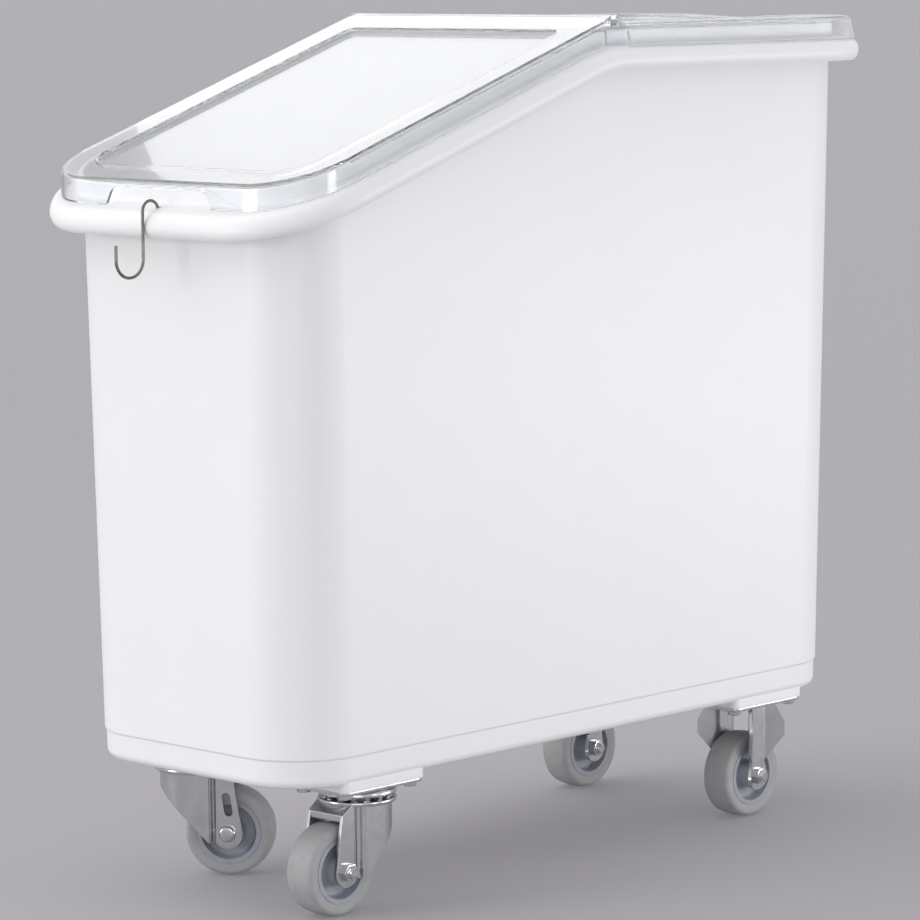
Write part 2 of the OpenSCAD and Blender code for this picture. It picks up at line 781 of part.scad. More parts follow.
module king_pin() {
    head_top = crown_bottom - rest_gap;
    color("silver")
    union() {
        translate([0, 0, head_top - king_head / 2])
            cylinder(d = king_pin_d, h = caster_height - head_top + king_head / 2);
        translate([0, 0, head_top - king_head])
            cylinder(d = king_head_d, h = king_head);
    }
}

// Plan of the cowl, set in by an inset
module cowl_plan(inset) {
    polygon(ring(cowl_width / 2 - inset, leg_rear + inset, cowl_back - inset,
                 fork_sheet, cowl_corner_r - inset, 0, []));
}

// Legs and cowl of a swivel fork, seen from above
module fork_plan() {
    for (x = [leg_inner, -leg_outer])
        translate([x, -trail - leg_r]) square([fork_sheet, leg_width + fork_sheet]);
    difference() {
        cowl_plan(0);
        cowl_plan(fork_sheet);
        translate([-leg_inner, leg_rear - overrun]) square([2 * leg_inner, fork_sheet + 2 * overrun]);
    }
}

// Outline of a swivel fork seen from its side, in Y and Z
function fork_side() =
    let (top = crown_bottom + crown_sheet / 2, back = cowl_back + overrun)
    concat(
        [[apron_front, apron_bend]],
        [for (a = [180 : 15 : 330]) [leg_r * cos(a) - trail, axle_z + leg_r * sin(a)]],
        [[leg_rear + fork_sheet, cowl_toe], [back, cowl_heel], [back, top], [apron_rear, top]]);

// Section of the apron that joins the legs over the tread, in Y and Z
function apron_side() =
    let (top = crown_bottom + crown_sheet / 2)
    [[apron_rear + fork_sheet, top],
     [apron_rear, top],
     [apron_front, apron_bend],
     [apron_front, apron_low],
     [apron_front + fork_sheet, apron_low],
     [apron_front + fork_sheet, apron_bend - fork_sheet / 2],
     [apron_rear + fork_sheet, top - fork_sheet]];

module swivel_fork() {
    color("silver")
    difference() {
        union() {
            translate([0, 0, crown_bottom]) cylinder(d = race_d, h = crown_sheet);
            intersection() {
                linear_extrude(crown_top) fork_plan();
                side_sheet(fork_side(), cowl_width + 2 * overrun);
            }
            side_sheet(apron_side(), 2 * leg_outer);
        }
        ball_groove();
        king_bore();
        at_swivel_axle() {
            rod(axle_bore_d, 4 * leg_outer);
            translate([-leg_outer, 0, slot_rise])
                rotate([-slot_lean, 0, 0])
                    side_sheet(oblong(slot_width, slot_length), 2 * fork_sheet + overrun);
        }
    }
}

// Stiffening wing of a rigid fork, in its reach and Z
function wing_outline() =
    let (top = plate_bottom + plate_sheet / 2, drop = plate_bottom - wing_reach)
    [[-fork_sheet / 2, top], [wing_foot, top], [wing_foot, plate_bottom], [wing_reach, drop],
     [wing_reach, drop - wing_reach * wing_share], [-fork_sheet / 2, axle_z + leg_r]];

module rigid_fork() {
    half = rigid_leg_width / 2;
    top = plate_bottom + plate_sheet / 2;
    leg_outline = concat(
        [[half, top], [-half, top]],
        [for (a = [180 : 15 : 360]) [leg_r * cos(a), axle_z + leg_r * sin(a)]]);
    leg_mid = (leg_inner + leg_outer) / 2;
    color("silver")
    difference() {
        union() {
            caster_plate();
            for (x = [-1, 1]) {
                translate([x * leg_mid, 0, 0]) side_sheet(leg_outline, fork_sheet);
                for (y = [-1, 1])
                    translate([x * leg_mid, y * (half - fork_sheet / 2), 0])
                        rotate([0, 0, atan2(y, x)])
                            rotate([90, 0, 0])
                                translate([0, 0, -fork_sheet / 2])
                                    linear_extrude(fork_sheet)
                                        polygon(wing_outline());
            }
        }
        at_rigid_axle() rod(axle_bore_d, 4 * leg_outer);
    }
}

module screws() {
    color("silver")
    at_screws()
        union() {
            translate([0, 0, plate_bottom - screw_head])
                cylinder(d = screw_flats / cos(30), h = screw_head, $fn = 6);
            translate([0, 0, plate_bottom - screw_head / 2])
                cylinder(d = screw_d, h = screw_top - plate_bottom + screw_head / 2);
        }
}

// Moves the middle of the whole bin, hook included, to the origin
module placed() {
    translate([0, -middle_y, 0]) children();
}

module at_fl() {
    at_caster(-1, -1, front_left_turn) children();
}

module at_fr() {
    at_caster(1, -1, front_right_turn) children();
}

module at_rl() {
    at_caster(-1, 1, 0) children();
}

module at_rr() {
    at_caster(1, 1, 0) children();
}

placed() tub();
placed() front_lid();
placed() rear_cover();
placed() hinge_pins();
placed() scoop_hook();
placed() at_caster(-1, -1, 0) swivel_plate();  // fl_plate
placed() at_fl() balls();  // fl_balls
placed() at_fl() king_pin();  // fl_king_pin
placed() at_fl() swivel_fork();  // fl_fork
placed() at_fl() at_swivel_axle() axle_bolt();  // fl_axle_bolt
placed() at_fl() at_swivel_axle() axle_nut();  // fl_axle_nut
placed() at_fl() at_swivel_axle() axle_sleeve();  // fl_axle_sleeve
placed() at_fl() at_swivel_axle() hub();  // fl_hub
placed() at_fl() at_swivel_axle() tyre();  // fl_tyre
placed() at_caster(-1, -1, 0) screws();  // fl_screws
placed() at_caster(1, -1, 0) swivel_plate();  // fr_plate
placed() at_fr() balls();  // fr_balls
placed() at_fr() king_pin();  // fr_king_pin
placed() at_fr() swivel_fork();  // fr_fork
placed() at_fr() at_swivel_axle() axle_bolt();  // fr_axle_bolt
placed() at_fr() at_swivel_axle() axle_nut();  // fr_axle_nut
placed() at_fr() at_swivel_axle() axle_sleeve();  // fr_axle_sleeve
placed() at_fr() at_swivel_axle() hub();  // fr_hub
placed() at_fr() at_swivel_axle() tyre();  // fr_tyre
placed() at_caster(1, -1, 0) screws();  // fr_screws
placed() at_rl() rigid_fork();  // rl_fork
placed() at_rl() at_rigid_axle() axle_bolt();  // rl_axle_bolt
placed() at_rl() at_rigid_axle() axle_nut();  // rl_axle_nut
placed() at_rl() at_rigid_axle() axle_sleeve();  // rl_axle_sleeve
placed() at_rl() at_rigid_axle() hub();  // rl_hub
placed() at_rl() at_rigid_axle() tyre();  // rl_tyre
placed() at_rl() screws();  // rl_screws
placed() at_rr() rigid_fork();  // rr_fork
placed() at_rr() at_rigid_axle() axle_bolt();  // rr_axle_bolt
placed() at_rr() at_rigid_axle() axle_nut();  // rr_axle_nut
placed() at_rr() at_rigid_axle() axle_sleeve();  // rr_axle_sleeve
placed() at_rr() at_rigid_axle() hub();  // rr_hub
placed() at_rr() at_rigid_axle() tyre();  // rr_tyre
placed() at_rr() screws();  // rr_screws
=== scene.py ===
import math

import bmesh
import bpy
from mathutils import Matrix, Vector


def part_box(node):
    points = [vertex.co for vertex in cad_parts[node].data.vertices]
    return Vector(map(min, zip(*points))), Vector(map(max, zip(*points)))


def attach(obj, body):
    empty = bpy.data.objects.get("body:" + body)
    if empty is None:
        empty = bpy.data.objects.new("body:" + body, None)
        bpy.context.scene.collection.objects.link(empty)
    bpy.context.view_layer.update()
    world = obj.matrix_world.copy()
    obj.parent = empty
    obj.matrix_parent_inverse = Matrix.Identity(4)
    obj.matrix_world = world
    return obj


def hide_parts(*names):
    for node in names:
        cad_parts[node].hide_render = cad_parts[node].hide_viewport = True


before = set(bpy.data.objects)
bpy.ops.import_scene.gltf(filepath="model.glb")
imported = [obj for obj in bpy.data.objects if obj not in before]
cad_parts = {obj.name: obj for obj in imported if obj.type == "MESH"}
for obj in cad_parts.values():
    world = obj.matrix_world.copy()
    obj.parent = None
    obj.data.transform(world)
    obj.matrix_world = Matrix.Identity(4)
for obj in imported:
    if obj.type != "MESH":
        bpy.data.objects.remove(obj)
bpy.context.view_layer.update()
print("frame loaded with", len(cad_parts), "nodes")

mm = 0.001
tubLow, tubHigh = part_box("tub")
midY = (tubLow.y + tubHigh.y) / 2   # pieces are drawn in mm about the middle of the rim
near = 0.1   # mm, how close counts as the same place when faces and edges are picked
spare = 1   # mm, by which a tool or a pick reaches past a face
onCut = 0.0001   # mm, how close to a cut a vertex counts as lying on it
mergeGap = 0.002   # mm
sharpDeg = 42   # steeper edges stay sharp in the shading
roundSteps = {"wheel": 96, "race": 72, "bolt": 48, "hole": 24}   # sides of the round pieces
perMetre = 1000   # a noise texture's scale counts its marks per metre, and their sizes are in mm
noiseSpan = (0.3, 0.7)   # most of a noise texture's values lie between these
cloudSpan = (0.35, 0.65)   # a tighter span gives a moulded cloud more contrast


# sRGB hex to linear
def linear(colour):
    parts = [int(colour[i:i + 2], 16) / 255 for i in (1, 3, 5)]
    return [p / 12.92 if p <= 0.04045 else ((p + 0.055) / 1.055) ** 2.4 for p in parts] + [1.0]


def addNode(tree, kind, settings=None, links=None):
    node = tree.nodes.new(kind)
    for name, value in (settings or {}).items():
        if name == "ramp":
            for element, (place, colour) in zip(node.color_ramp.elements, value):
                element.position = place
                element.color = linear(colour)
        elif name in node.inputs:
            node.inputs[name].default_value = value
        else:
            setattr(node, name, value)
    for name, socket in (links or {}).items():
        tree.links.new(socket, node.inputs[name])
    return node


def startMaterial(name, constants):
    material = bpy.data.materials.new(name)
    material.use_nodes = True
    tree = material.node_tree
    shader = tree.nodes["Principled BSDF"]
    for socket, value in constants.items():
        shader.inputs[socket].default_value = value
    spot = addNode(tree, "ShaderNodeTexCoord").outputs["Object"]
    return material, tree, shader, spot


# slow change of tone between the look's two colours
def paintCloud(tree, shader, look, spot, detail, span):
    cloud = addNode(tree, "ShaderNodeTexNoise", {"Scale": perMetre / look["cloudMm"], "Detail": detail},
                    {"Vector": spot})
    ends = list(zip(span, (look["dark"], look["light"])))
    tone = addNode(tree, "ShaderNodeValToRGB", {"ramp": ends}, {"Fac": cloud.outputs["Fac"]})
    tree.links.new(tone.outputs["Color"], shader.inputs["Base Color"])


# a pattern that moves the gloss and the normal
def roughen(tree, shader, look, pattern):
    low, high = noiseSpan
    gloss = addNode(tree, "ShaderNodeMapRange",
                    {"From Min": low, "From Max": high, "To Min": look["glossy"], "To Max": look["dull"]},
                    {"Value": pattern.outputs["Fac"]})
    bump = addNode(tree, "ShaderNodeBump", {"Strength": look["bump"], "Distance": look["depthMm"] * mm},
                   {"Height": pattern.outputs["Fac"]})
    tree.links.new(gloss.outputs["Result"], shader.inputs["Roughness"])
    tree.links.new(bump.outputs["Normal"], shader.inputs["Normal"])


# moulded goods: a slow change of tone and a fine grain
def mouldedFinish(name, look):
    material, tree, shader, spot = startMaterial(name, {"IOR": look["ior"]})
    paintCloud(tree, shader, look, spot, 3.0, cloudSpan)
    grain = addNode(tree, "ShaderNodeTexNoise", {"Scale": perMetre / look["grainMm"], "Detail": 2.0},
                    {"Vector": spot})
    roughen(tree, shader, look, grain)
    return material


# plated or drawn steel: rolling lines stretched along one axis, and a faint cloud in the plating
def platedFinish(name, look):
    material, tree, shader, spot = startMaterial(name, {"Metallic": 1.0})
    paintCloud(tree, shader, look, spot, 2.0, noiseSpan)
    lines = addNode(tree, "ShaderNodeMapping", {"Scale": look["stretch"]}, {"Vector": spot})
    drawn = addNode(tree, "ShaderNodeTexNoise", {"Scale": perMetre / look["lineMm"], "Detail": 3.0},
                    {"Vector": lines.outputs["Vector"]})
    roughen(tree, shader, look, drawn)
    return material


# clear moulding: light goes straight through, the skin is hard and shiny with faint flow marks
def clearFinish(name, look):
    material, tree, shader, spot = startMaterial(
        name, {"Transmission Weight": 1.0, "IOR": look["ior"], "Base Color": linear(look["tint"]),
               "Coat Weight": 1.0, "Coat IOR": look["skinIor"], "Coat Roughness": look["skin"]})
    flow = addNode(tree, "ShaderNodeTexNoise", {"Scale": perMetre / look["flowMm"], "Detail": 2.0},
                   {"Vector": spot})
    roughen(tree, shader, look, flow)
    # lamps shine straight through the thin sheet, so what lies under it stays lit
    rays = addNode(tree, "ShaderNodeLightPath")
    clear = addNode(tree, "ShaderNodeBsdfTransparent", {"Color": linear(look["passes"])})
    mix = addNode(tree, "ShaderNodeMixShader", None, {"Fac": rays.outputs["Is Shadow Ray"]})
    tree.links.new(shader.outputs["BSDF"], mix.inputs[1])
    tree.links.new(clear.outputs["BSDF"], mix.inputs[2])
    tree.links.new(mix.outputs["Shader"], tree.nodes["Material Output"].inputs["Surface"])
    return material


# polyethylene from a spark-eroded mould: soft satin white
# the real grain is about 0.3 mm, too fine to show, so it is drawn at 1.4 mm
polyethylene = mouldedFinish("mouldedPolyethylene", {
    "light": "#f2f2f3", "dark": "#f1f1f2", "cloudMm": 80, "grainMm": 1.4,
    "glossy": 0.38, "dull": 0.46, "bump": 0.12, "depthMm": 0.02, "ior": 1.5})
# polycarbonate, injection moulded and polished: clear with a faint cool tint
# its skin has the real IOR; a low one inside keeps what lies under the thin sheet in its place
polycarbonate = clearFinish("clearPolycarbonate", {
    "tint": "#fbfcfd", "passes": "#d8dbdf", "ior": 1.2, "skinIor": 1.5, "skin": 0.03, "flowMm": 40,
    "glossy": 0.09, "dull": 0.13, "bump": 0.05, "depthMm": 0.1})
# steel sheet, pressed and bright zinc plated: cool silver with rolling lines down its length
zincSheet = platedFinish("zincPlatedSheet", {
    "light": "#cfd0d1", "dark": "#c3c4c6", "cloudMm": 14, "lineMm": 0.9, "stretch": (1.0, 1.0, 0.12),
    "glossy": 0.19, "dull": 0.27, "bump": 0.07, "depthMm": 0.02})
# turned and cold-headed steel, bright zinc plated: a little brighter, with a fine even grain
zincFastener = platedFinish("zincPlatedFastener", {
    "light": "#dadbdc", "dark": "#c8c9cb", "cloudMm": 5, "lineMm": 0.8, "stretch": (1.0, 1.0, 1.0),
    "glossy": 0.14, "dull": 0.26, "bump": 0.2, "depthMm": 0.02})
# spring steel wire, drawn and lightly oiled: dark and glossy with lines along the wire
springWire = platedFinish("drawnSteelWire", {
    "light": "#8d8882", "dark": "#76716c", "cloudMm": 6, "lineMm": 0.7, "stretch": (1.0, 1.0, 0.2),
    "glossy": 0.22, "dull": 0.34, "bump": 0.2, "depthMm": 0.02})
# thermoplastic rubber, moulded: matt grey with a dry, even bloom
greyRubber = mouldedFinish("greyTreadRubber", {
    "light": "#a7a7a8", "dark": "#a1a1a2", "cloudMm": 9, "grainMm": 0.9,
    "glossy": 0.55, "dull": 0.75, "bump": 0.35, "depthMm": 0.06, "ior": 1.5})
# polypropylene, moulded: satin blue grey
hubPlastic = mouldedFinish("blueGreyPolypropylene", {
    "light": "#a3a7b0", "dark": "#999da7", "cloudMm": 12, "grainMm": 0.9,
    "glossy": 0.34, "dull": 0.46, "bump": 0.2, "depthMm": 0.03, "ior": 1.49})
print("materials made")


def pick(made, kind):
    return [g for g in made if isinstance(g, kind)]


def roundCorners(bm, verts, radius, segments):
    bmesh.ops.bevel(bm, geom=verts, offset=radius, offset_type="OFFSET", affect="VERTICES",
                    segments=segments, profile=0.5, material=-1)


def roundEdges(bm, edges, offset, segments):
    bmesh.ops.bevel(bm, geom=edges, offset=offset, offset_type="OFFSET", affect="EDGES",
                    segments=segments, profile=0.5, material=-1, clamp_overlap=True)


def roundSharp(bm, offset, segments, angle=40):
    sharp = [e for e in bm.edges if len(e.link_faces) == 2 and e.calc_face_angle() > math.radians(angle)]
    roundEdges(bm, sharp, offset, segments)


def cutFaces(bm, faces, place, normal, clear=False):
    parts = faces + list({e for f in faces for e in f.edges}) + list({v for f in faces for v in f.verts})
    bmesh.ops.bisect_plane(bm, geom=parts, dist=onCut, plane_co=place, plane_no=normal, clear_outer=clear)


# closed wire loop: a rectangle with round corners, cut again at each place along Y in cuts
def roundLoop(bm, halfW, front, rear, frontR, rearR, z, cuts=(), steps=14):
    kept = set(bm.verts)
    spots = ((halfW, front), (halfW, rear), (-halfW, rear), (-halfW, front))
    corners = [bm.verts.new((x, y, z)) for x, y in spots]
    bm.faces.new(corners)
    for pair, radius in (((0, 3), frontR), ((1, 2), rearR)):
        roundCorners(bm, [corners[i] for i in pair], radius, steps)
    verts = [v for v in bm.verts if v not in kept]
    bmesh.ops.delete(bm, geom=list({f for v in verts for f in v.link_faces}), context="FACES_ONLY")
    for y in cuts:
        edges = list({e for v in verts for e in v.link_edges})
        bmesh.ops.bisect_plane(bm, geom=verts + edges, dist=onCut, plane_co=(0, y, 0), plane_no=(0, 1, 0))
        verts = [v for v in bm.verts if v not in kept]
    return list({e for v in verts for e in v.link_edges})


def loopVerts(edges):
    return list({v for e in edges for v in e.verts})


def skinLoops(bm, loops, ends=()):
    for lower, upper in zip(loops, loops[1:]):
        bmesh.ops.bridge_loops(bm, edges=lower + upper)
    for i in ends:
        bmesh.ops.edgeloop_fill(bm, edges=loops[i])


def addBox(bm, low, high):
    size = [h - l for l, h in zip(low, high)]
    middle = [(h + l) / 2 for l, h in zip(low, high)]
    made = bmesh.ops.create_cube(bm, size=1, matrix=Matrix.Translation(middle) @ Matrix.Diagonal((*size, 1)))
    return made["verts"]


# cylinder along X
def addRod(bm, radius, xLow, xHigh, y, z, sides=32):
    spot = Matrix.Translation(((xLow + xHigh) / 2, y, z)) @ Matrix.Rotation(math.pi / 2, 4, "Y")
    bmesh.ops.create_cone(bm, cap_ends=True, segments=sides, radius1=radius, radius2=radius,
                          depth=xHigh - xLow, matrix=spot)


# cylinder along Z
def addPost(bm, radius, x, y, zLow, zHigh, sides=32):
    spot = Matrix.Translation((x, y, (zLow + zHigh) / 2))
    bmesh.ops.create_cone(bm, cap_ends=True, segments=sides, radius1=radius, radius2=radius,
                          depth=zHigh - zLow, matrix=spot)


# solid turned about X or Z from a half outline; the outline's points are (along the axis, radius)
def addTurned(bm, outline, axis, centre, steps, closed=False):
    along = Vector(axis)
    side = Vector((0, 0, 1)) if along.x else Vector((1, 0, 0))
    verts = [bm.verts.new(Vector(centre) + along * a + side * r) for a, r in outline]
    pairs = list(zip(verts, verts[1:] + verts[:1])) if closed else list(zip(verts, verts[1:]))
    edges = [bm.edges.new(p) for p in pairs]
    bmesh.ops.spin(bm, geom=verts + edges, cent=centre, axis=axis, angle=2 * math.pi, steps=steps,
                   use_merge=True, use_duplicate=False)


# points of an arc about a centre
def arcPoints(along, across, r, startDeg, endDeg, steps):
    angles = [math.radians(startDeg + (endDeg - startDeg) * i / steps) for i in range(steps + 1)]
    return [(along + r * math.cos(a), across + r * math.sin(a)) for a in angles]


# solid with its section drawn in Y and Z
def addProfile(bm, section, xLow, xHigh):
    face = bm.faces.new([bm.verts.new((xLow, y, z)) for y, z in section])
    made = bmesh.ops.extrude_face_region(bm, geom=[face])["geom"]
    bmesh.ops.translate(bm, vec=(xHigh - xLow, 0, 0), verts=pick(made, bmesh.types.BMVert))
    return [face] + pick(made, bmesh.types.BMFace)


# the same across the middle, with its edges rounded
def addStrip(bm, section, half, edge):
    ends = addProfile(bm, section, -half, half)
    roundEdges(bm, list({e for f in ends for v in f.verts for e in v.link_edges}), edge, 3)


# working object for the Boolean steps
def solidObject(bm):
    bmesh.ops.recalc_face_normals(bm, faces=bm.faces)
    mesh = bpy.data.meshes.new("solid")
    bm.to_mesh(mesh)
    bm.free()
    solid = bpy.data.objects.new("solid", mesh)
    bpy.context.scene.collection.objects.link(solid)
    return solid


# one skin around overlapping solids, so that light meets no wall inside them, and the holes drilled in it
def joinSolids(bm, steps):
    base = solidObject(bm)
    tools = [(operation, solidObject(tool)) for operation, tool in steps]
    for operation, tool in tools:
        step = base.modifiers.new(operation, "BOOLEAN")
        step.operation = operation
        step.object = tool
        step.solver = "MANIFOLD"
    joined = bmesh.new()
    joined.from_object(base, bpy.context.evaluated_depsgraph_get())
    for solid in [base] + [tool for operation, tool in tools]:
        bpy.data.meshes.remove(solid.data)   # its object goes with it
    return joined


def finishPiece(bm, name, body, nodes, material, place=None):
    bmesh.ops.remove_doubles(bm, verts=bm.verts, dist=mergeGap)
    bmesh.ops.delete(bm, geom=[e for e in bm.edges if not e.link_faces], context="EDGES")
    bmesh.ops.recalc_face_normals(bm, faces=bm.faces)
    if place is not None:
        bmesh.ops.transform(bm, matrix=place, verts=bm.verts)
    bmesh.ops.scale(bm, vec=(mm, mm, mm), verts=bm.verts)
    bmesh.ops.translate(bm, vec=(0, midY, 0), verts=bm.verts)
    mesh = bpy.data.meshes.new(name)
    bm.to_mesh(mesh)
    bm.free()
    mesh.shade_smooth()
    mesh.set_sharp_from_angle(angle=math.radians(sharpDeg))
    mesh.materials.append(material)
    piece = bpy.data.objects.new(name, mesh)
    bpy.context.scene.collection.objects.link(piece)
    even = piece.modifiers.new("evenShading", "WEIGHTED_NORMAL")
    even.keep_sharp = True
    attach(piece, body)
    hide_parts(*nodes)


tubSize = {
    "halfW": 165, "halfL": 372, "cornerR": 83, "rimTop": 686, "bottom": 110.5, "slantDeg": 18.5,
    "kinkBlend": 22, "overhang": 26, "rimHeight": 19.3, "nose": 9, "noseStartDeg": -55, "noseStepDeg": 14.5,
    "rimWall": 4.5, "wall": 4.5, "floor": 6, "draft": 6.5, "floorCornerR": 62, "bottomEdgeR": 7,
    "bandHeight": 24, "bandStep": 1.4, "lipHeight": 12.6, "lipWall": 4, "lipInset": 24, "lipRound": 1.3,
    "lipFoot": 2.5, "innerEdgeR": 8.5, "padX": 96.5, "padY": 240.5, "padW": 66, "padL": 92, "padDrop": 6,
    "padR": 6, "padEdge": 0.8, "hookHoleR": 2.5, "hookHoleY": -356.5, "hookHoleZ": 564}
slope = math.tan(math.radians(tubSize["slantDeg"]))
kinkCuts = [tubSize["kinkBlend"] * share for share in (-1, -0.67, -0.33, 0, 0.33, 0.67, 1)]


# drop of the slanted half, with a rounded bend where it meets the level half
def slantDrop(y):
    reach = tubSize["kinkBlend"]
    if y <= -reach:
        return slope * y
    if y >= reach:
        return 0
    return -slope * (reach - y) ** 2 / (4 * reach)


def makePads():
    s = tubSize
    pads = bmesh.new()
    halfW, halfL = s["padW"] / 2, s["padL"] / 2
    low, high = s["bottom"] - s["padDrop"], s["bottom"] + s["floor"] / 2
    for x in (-s["padX"], s["padX"]):
        for y in (-s["padY"], s["padY"]):
            pad = addBox(pads, (x - halfW, y - halfL, low), (x + halfW, y + halfL, high))
            edges = {e for v in pad for e in v.link_edges}
            upright = [e for e in edges if abs(e.verts[0].co.z - e.verts[1].co.z) > near]
            roundEdges(pads, upright, s["padR"], 4)
    roundSharp(pads, s["padEdge"], 2, 60)
    return pads


def makeTub():
    s = tubSize
    bm = bmesh.new()
    height = s["rimTop"] - s["bottom"]

    def rimLoop(inset, z):
        r = s["cornerR"] - inset
        loop = roundLoop(bm, s["halfW"] - inset, inset - s["halfL"], s["halfL"] - inset, r, r, z, kinkCuts)
        for v in loopVerts(loop):
            v.co.z += slantDrop(v.co.y)
        return loop

    def wallLoop(inset, z, slanted=False):
        share = (s["rimTop"] - z) / height
        back = s["overhang"] + s["draft"] * share + inset
        topR = s["cornerR"] - s["overhang"]
        r = topR + (s["floorCornerR"] - topR) * share - inset
        loop = roundLoop(bm, s["halfW"] - back, back - s["halfL"], s["halfL"] - back, r, r, z, kinkCuts)
        if slanted:
            for v in loopVerts(loop):
                drop = slantDrop(v.co.y)
                lean = -s["draft"] * drop / height
                v.co.z += drop
                v.co.x *= 1 - lean / (s["halfW"] - back)
                v.co.y *= 1 - lean / (s["halfL"] - back)
        return loop

    # band at the foot, wall, and the rolled rim with its nose turned down
    startA = math.radians(s["noseStartDeg"])
    noseHalf = s["rimHeight"] / (1 - math.sin(startA))
    noseMid = s["rimTop"] - noseHalf
    rollInset = s["nose"] * (1 - math.cos(startA)) + s["rimWall"] / 2
    under = s["rimTop"] - s["rimWall"]
    noseSteps = int((90 - s["noseStartDeg"]) / s["noseStepDeg"])
    foot = wallLoop(s["bandStep"], s["bottom"])
    bandTop = wallLoop(s["bandStep"], s["bottom"] + s["bandHeight"] - s["bandStep"])
    bandEdge = wallLoop(0, s["bottom"] + s["bandHeight"])
    loops = [foot, bandTop, bandEdge, wallLoop(0, under, True),
             rimLoop(rollInset, under), rimLoop(rollInset, s["rimTop"] - s["rimHeight"])]
    for i in range(noseSteps + 1):
        a = math.radians(s["noseStartDeg"] + s["noseStepDeg"] * i)
        loops.append(rimLoop(s["nose"] * (1 - math.cos(a)), noseMid + noseHalf * math.sin(a)))

    # raised lip inside the rim, and the inside of the tub
    lipFoot = rimLoop(s["lipInset"], s["rimTop"])
    lipOuter = rimLoop(s["lipInset"], s["rimTop"] + s["lipHeight"])
    lipInner = rimLoop(s["lipInset"] + s["lipWall"], s["rimTop"] + s["lipHeight"])
    inside = wallLoop(s["wall"], under, True)
    floor = wallLoop(s["wall"] + s["bandStep"], s["bottom"] + s["floor"])
    loops += [lipFoot, lipOuter, lipInner, inside, floor]
    skinLoops(bm, loops, ends=(0, -1))
    roundEdges(bm, foot, s["bottomEdgeR"], 5)
    roundEdges(bm, bandEdge, s["bandStep"] / 2, 2)
    roundEdges(bm, lipFoot, s["lipFoot"], 3)
    roundEdges(bm, lipOuter + lipInner, s["lipRound"], 2)
    roundEdges(bm, floor, s["innerEdgeR"], 4)

    drill = bmesh.new()
    reach = s["rimHeight"] / 2
    addPost(drill, s["hookHoleR"], 0, s["hookHoleY"], s["hookHoleZ"] - reach, s["hookHoleZ"] + reach)
    bm = joinSolids(bm, [("UNION", makePads()), ("DIFFERENCE", drill)])
    finishPiece(bm, "binTub", "bin", ["tub"], polyethylene)


makeTub()
print("tub made")

# what the two lids share: their sheet, and the hinge between them
sharedByLids = {
    "foot": 686.3, "sheet": 3, "edge": 1.5, "hingeY": 14.5, "hingeZ": 706.3, "hingeR": 4.5, "boreR": 1.65,
    "softEdge": 0.4, "fine": 0.1}
lidSize = {
    **sharedByLids, "halfW": 154, "front": -357.5, "top": 706.3, "cornerR": 62, "rearR": 5, "frame": 32,
    "rearFrame": 35.9, "panelDepth": 4.5, "lean": 1.6, "panelR": 25, "panelRearR": 8, "shoulder": 4.2,
    "notchW": 122, "notchH": 14.6, "notchLean": 0.5, "notchR": 6, "skirtEnd": -2, "barrelHalf": 148.2,
    "lugRoomY": 5.75, "boreDepth": 11}


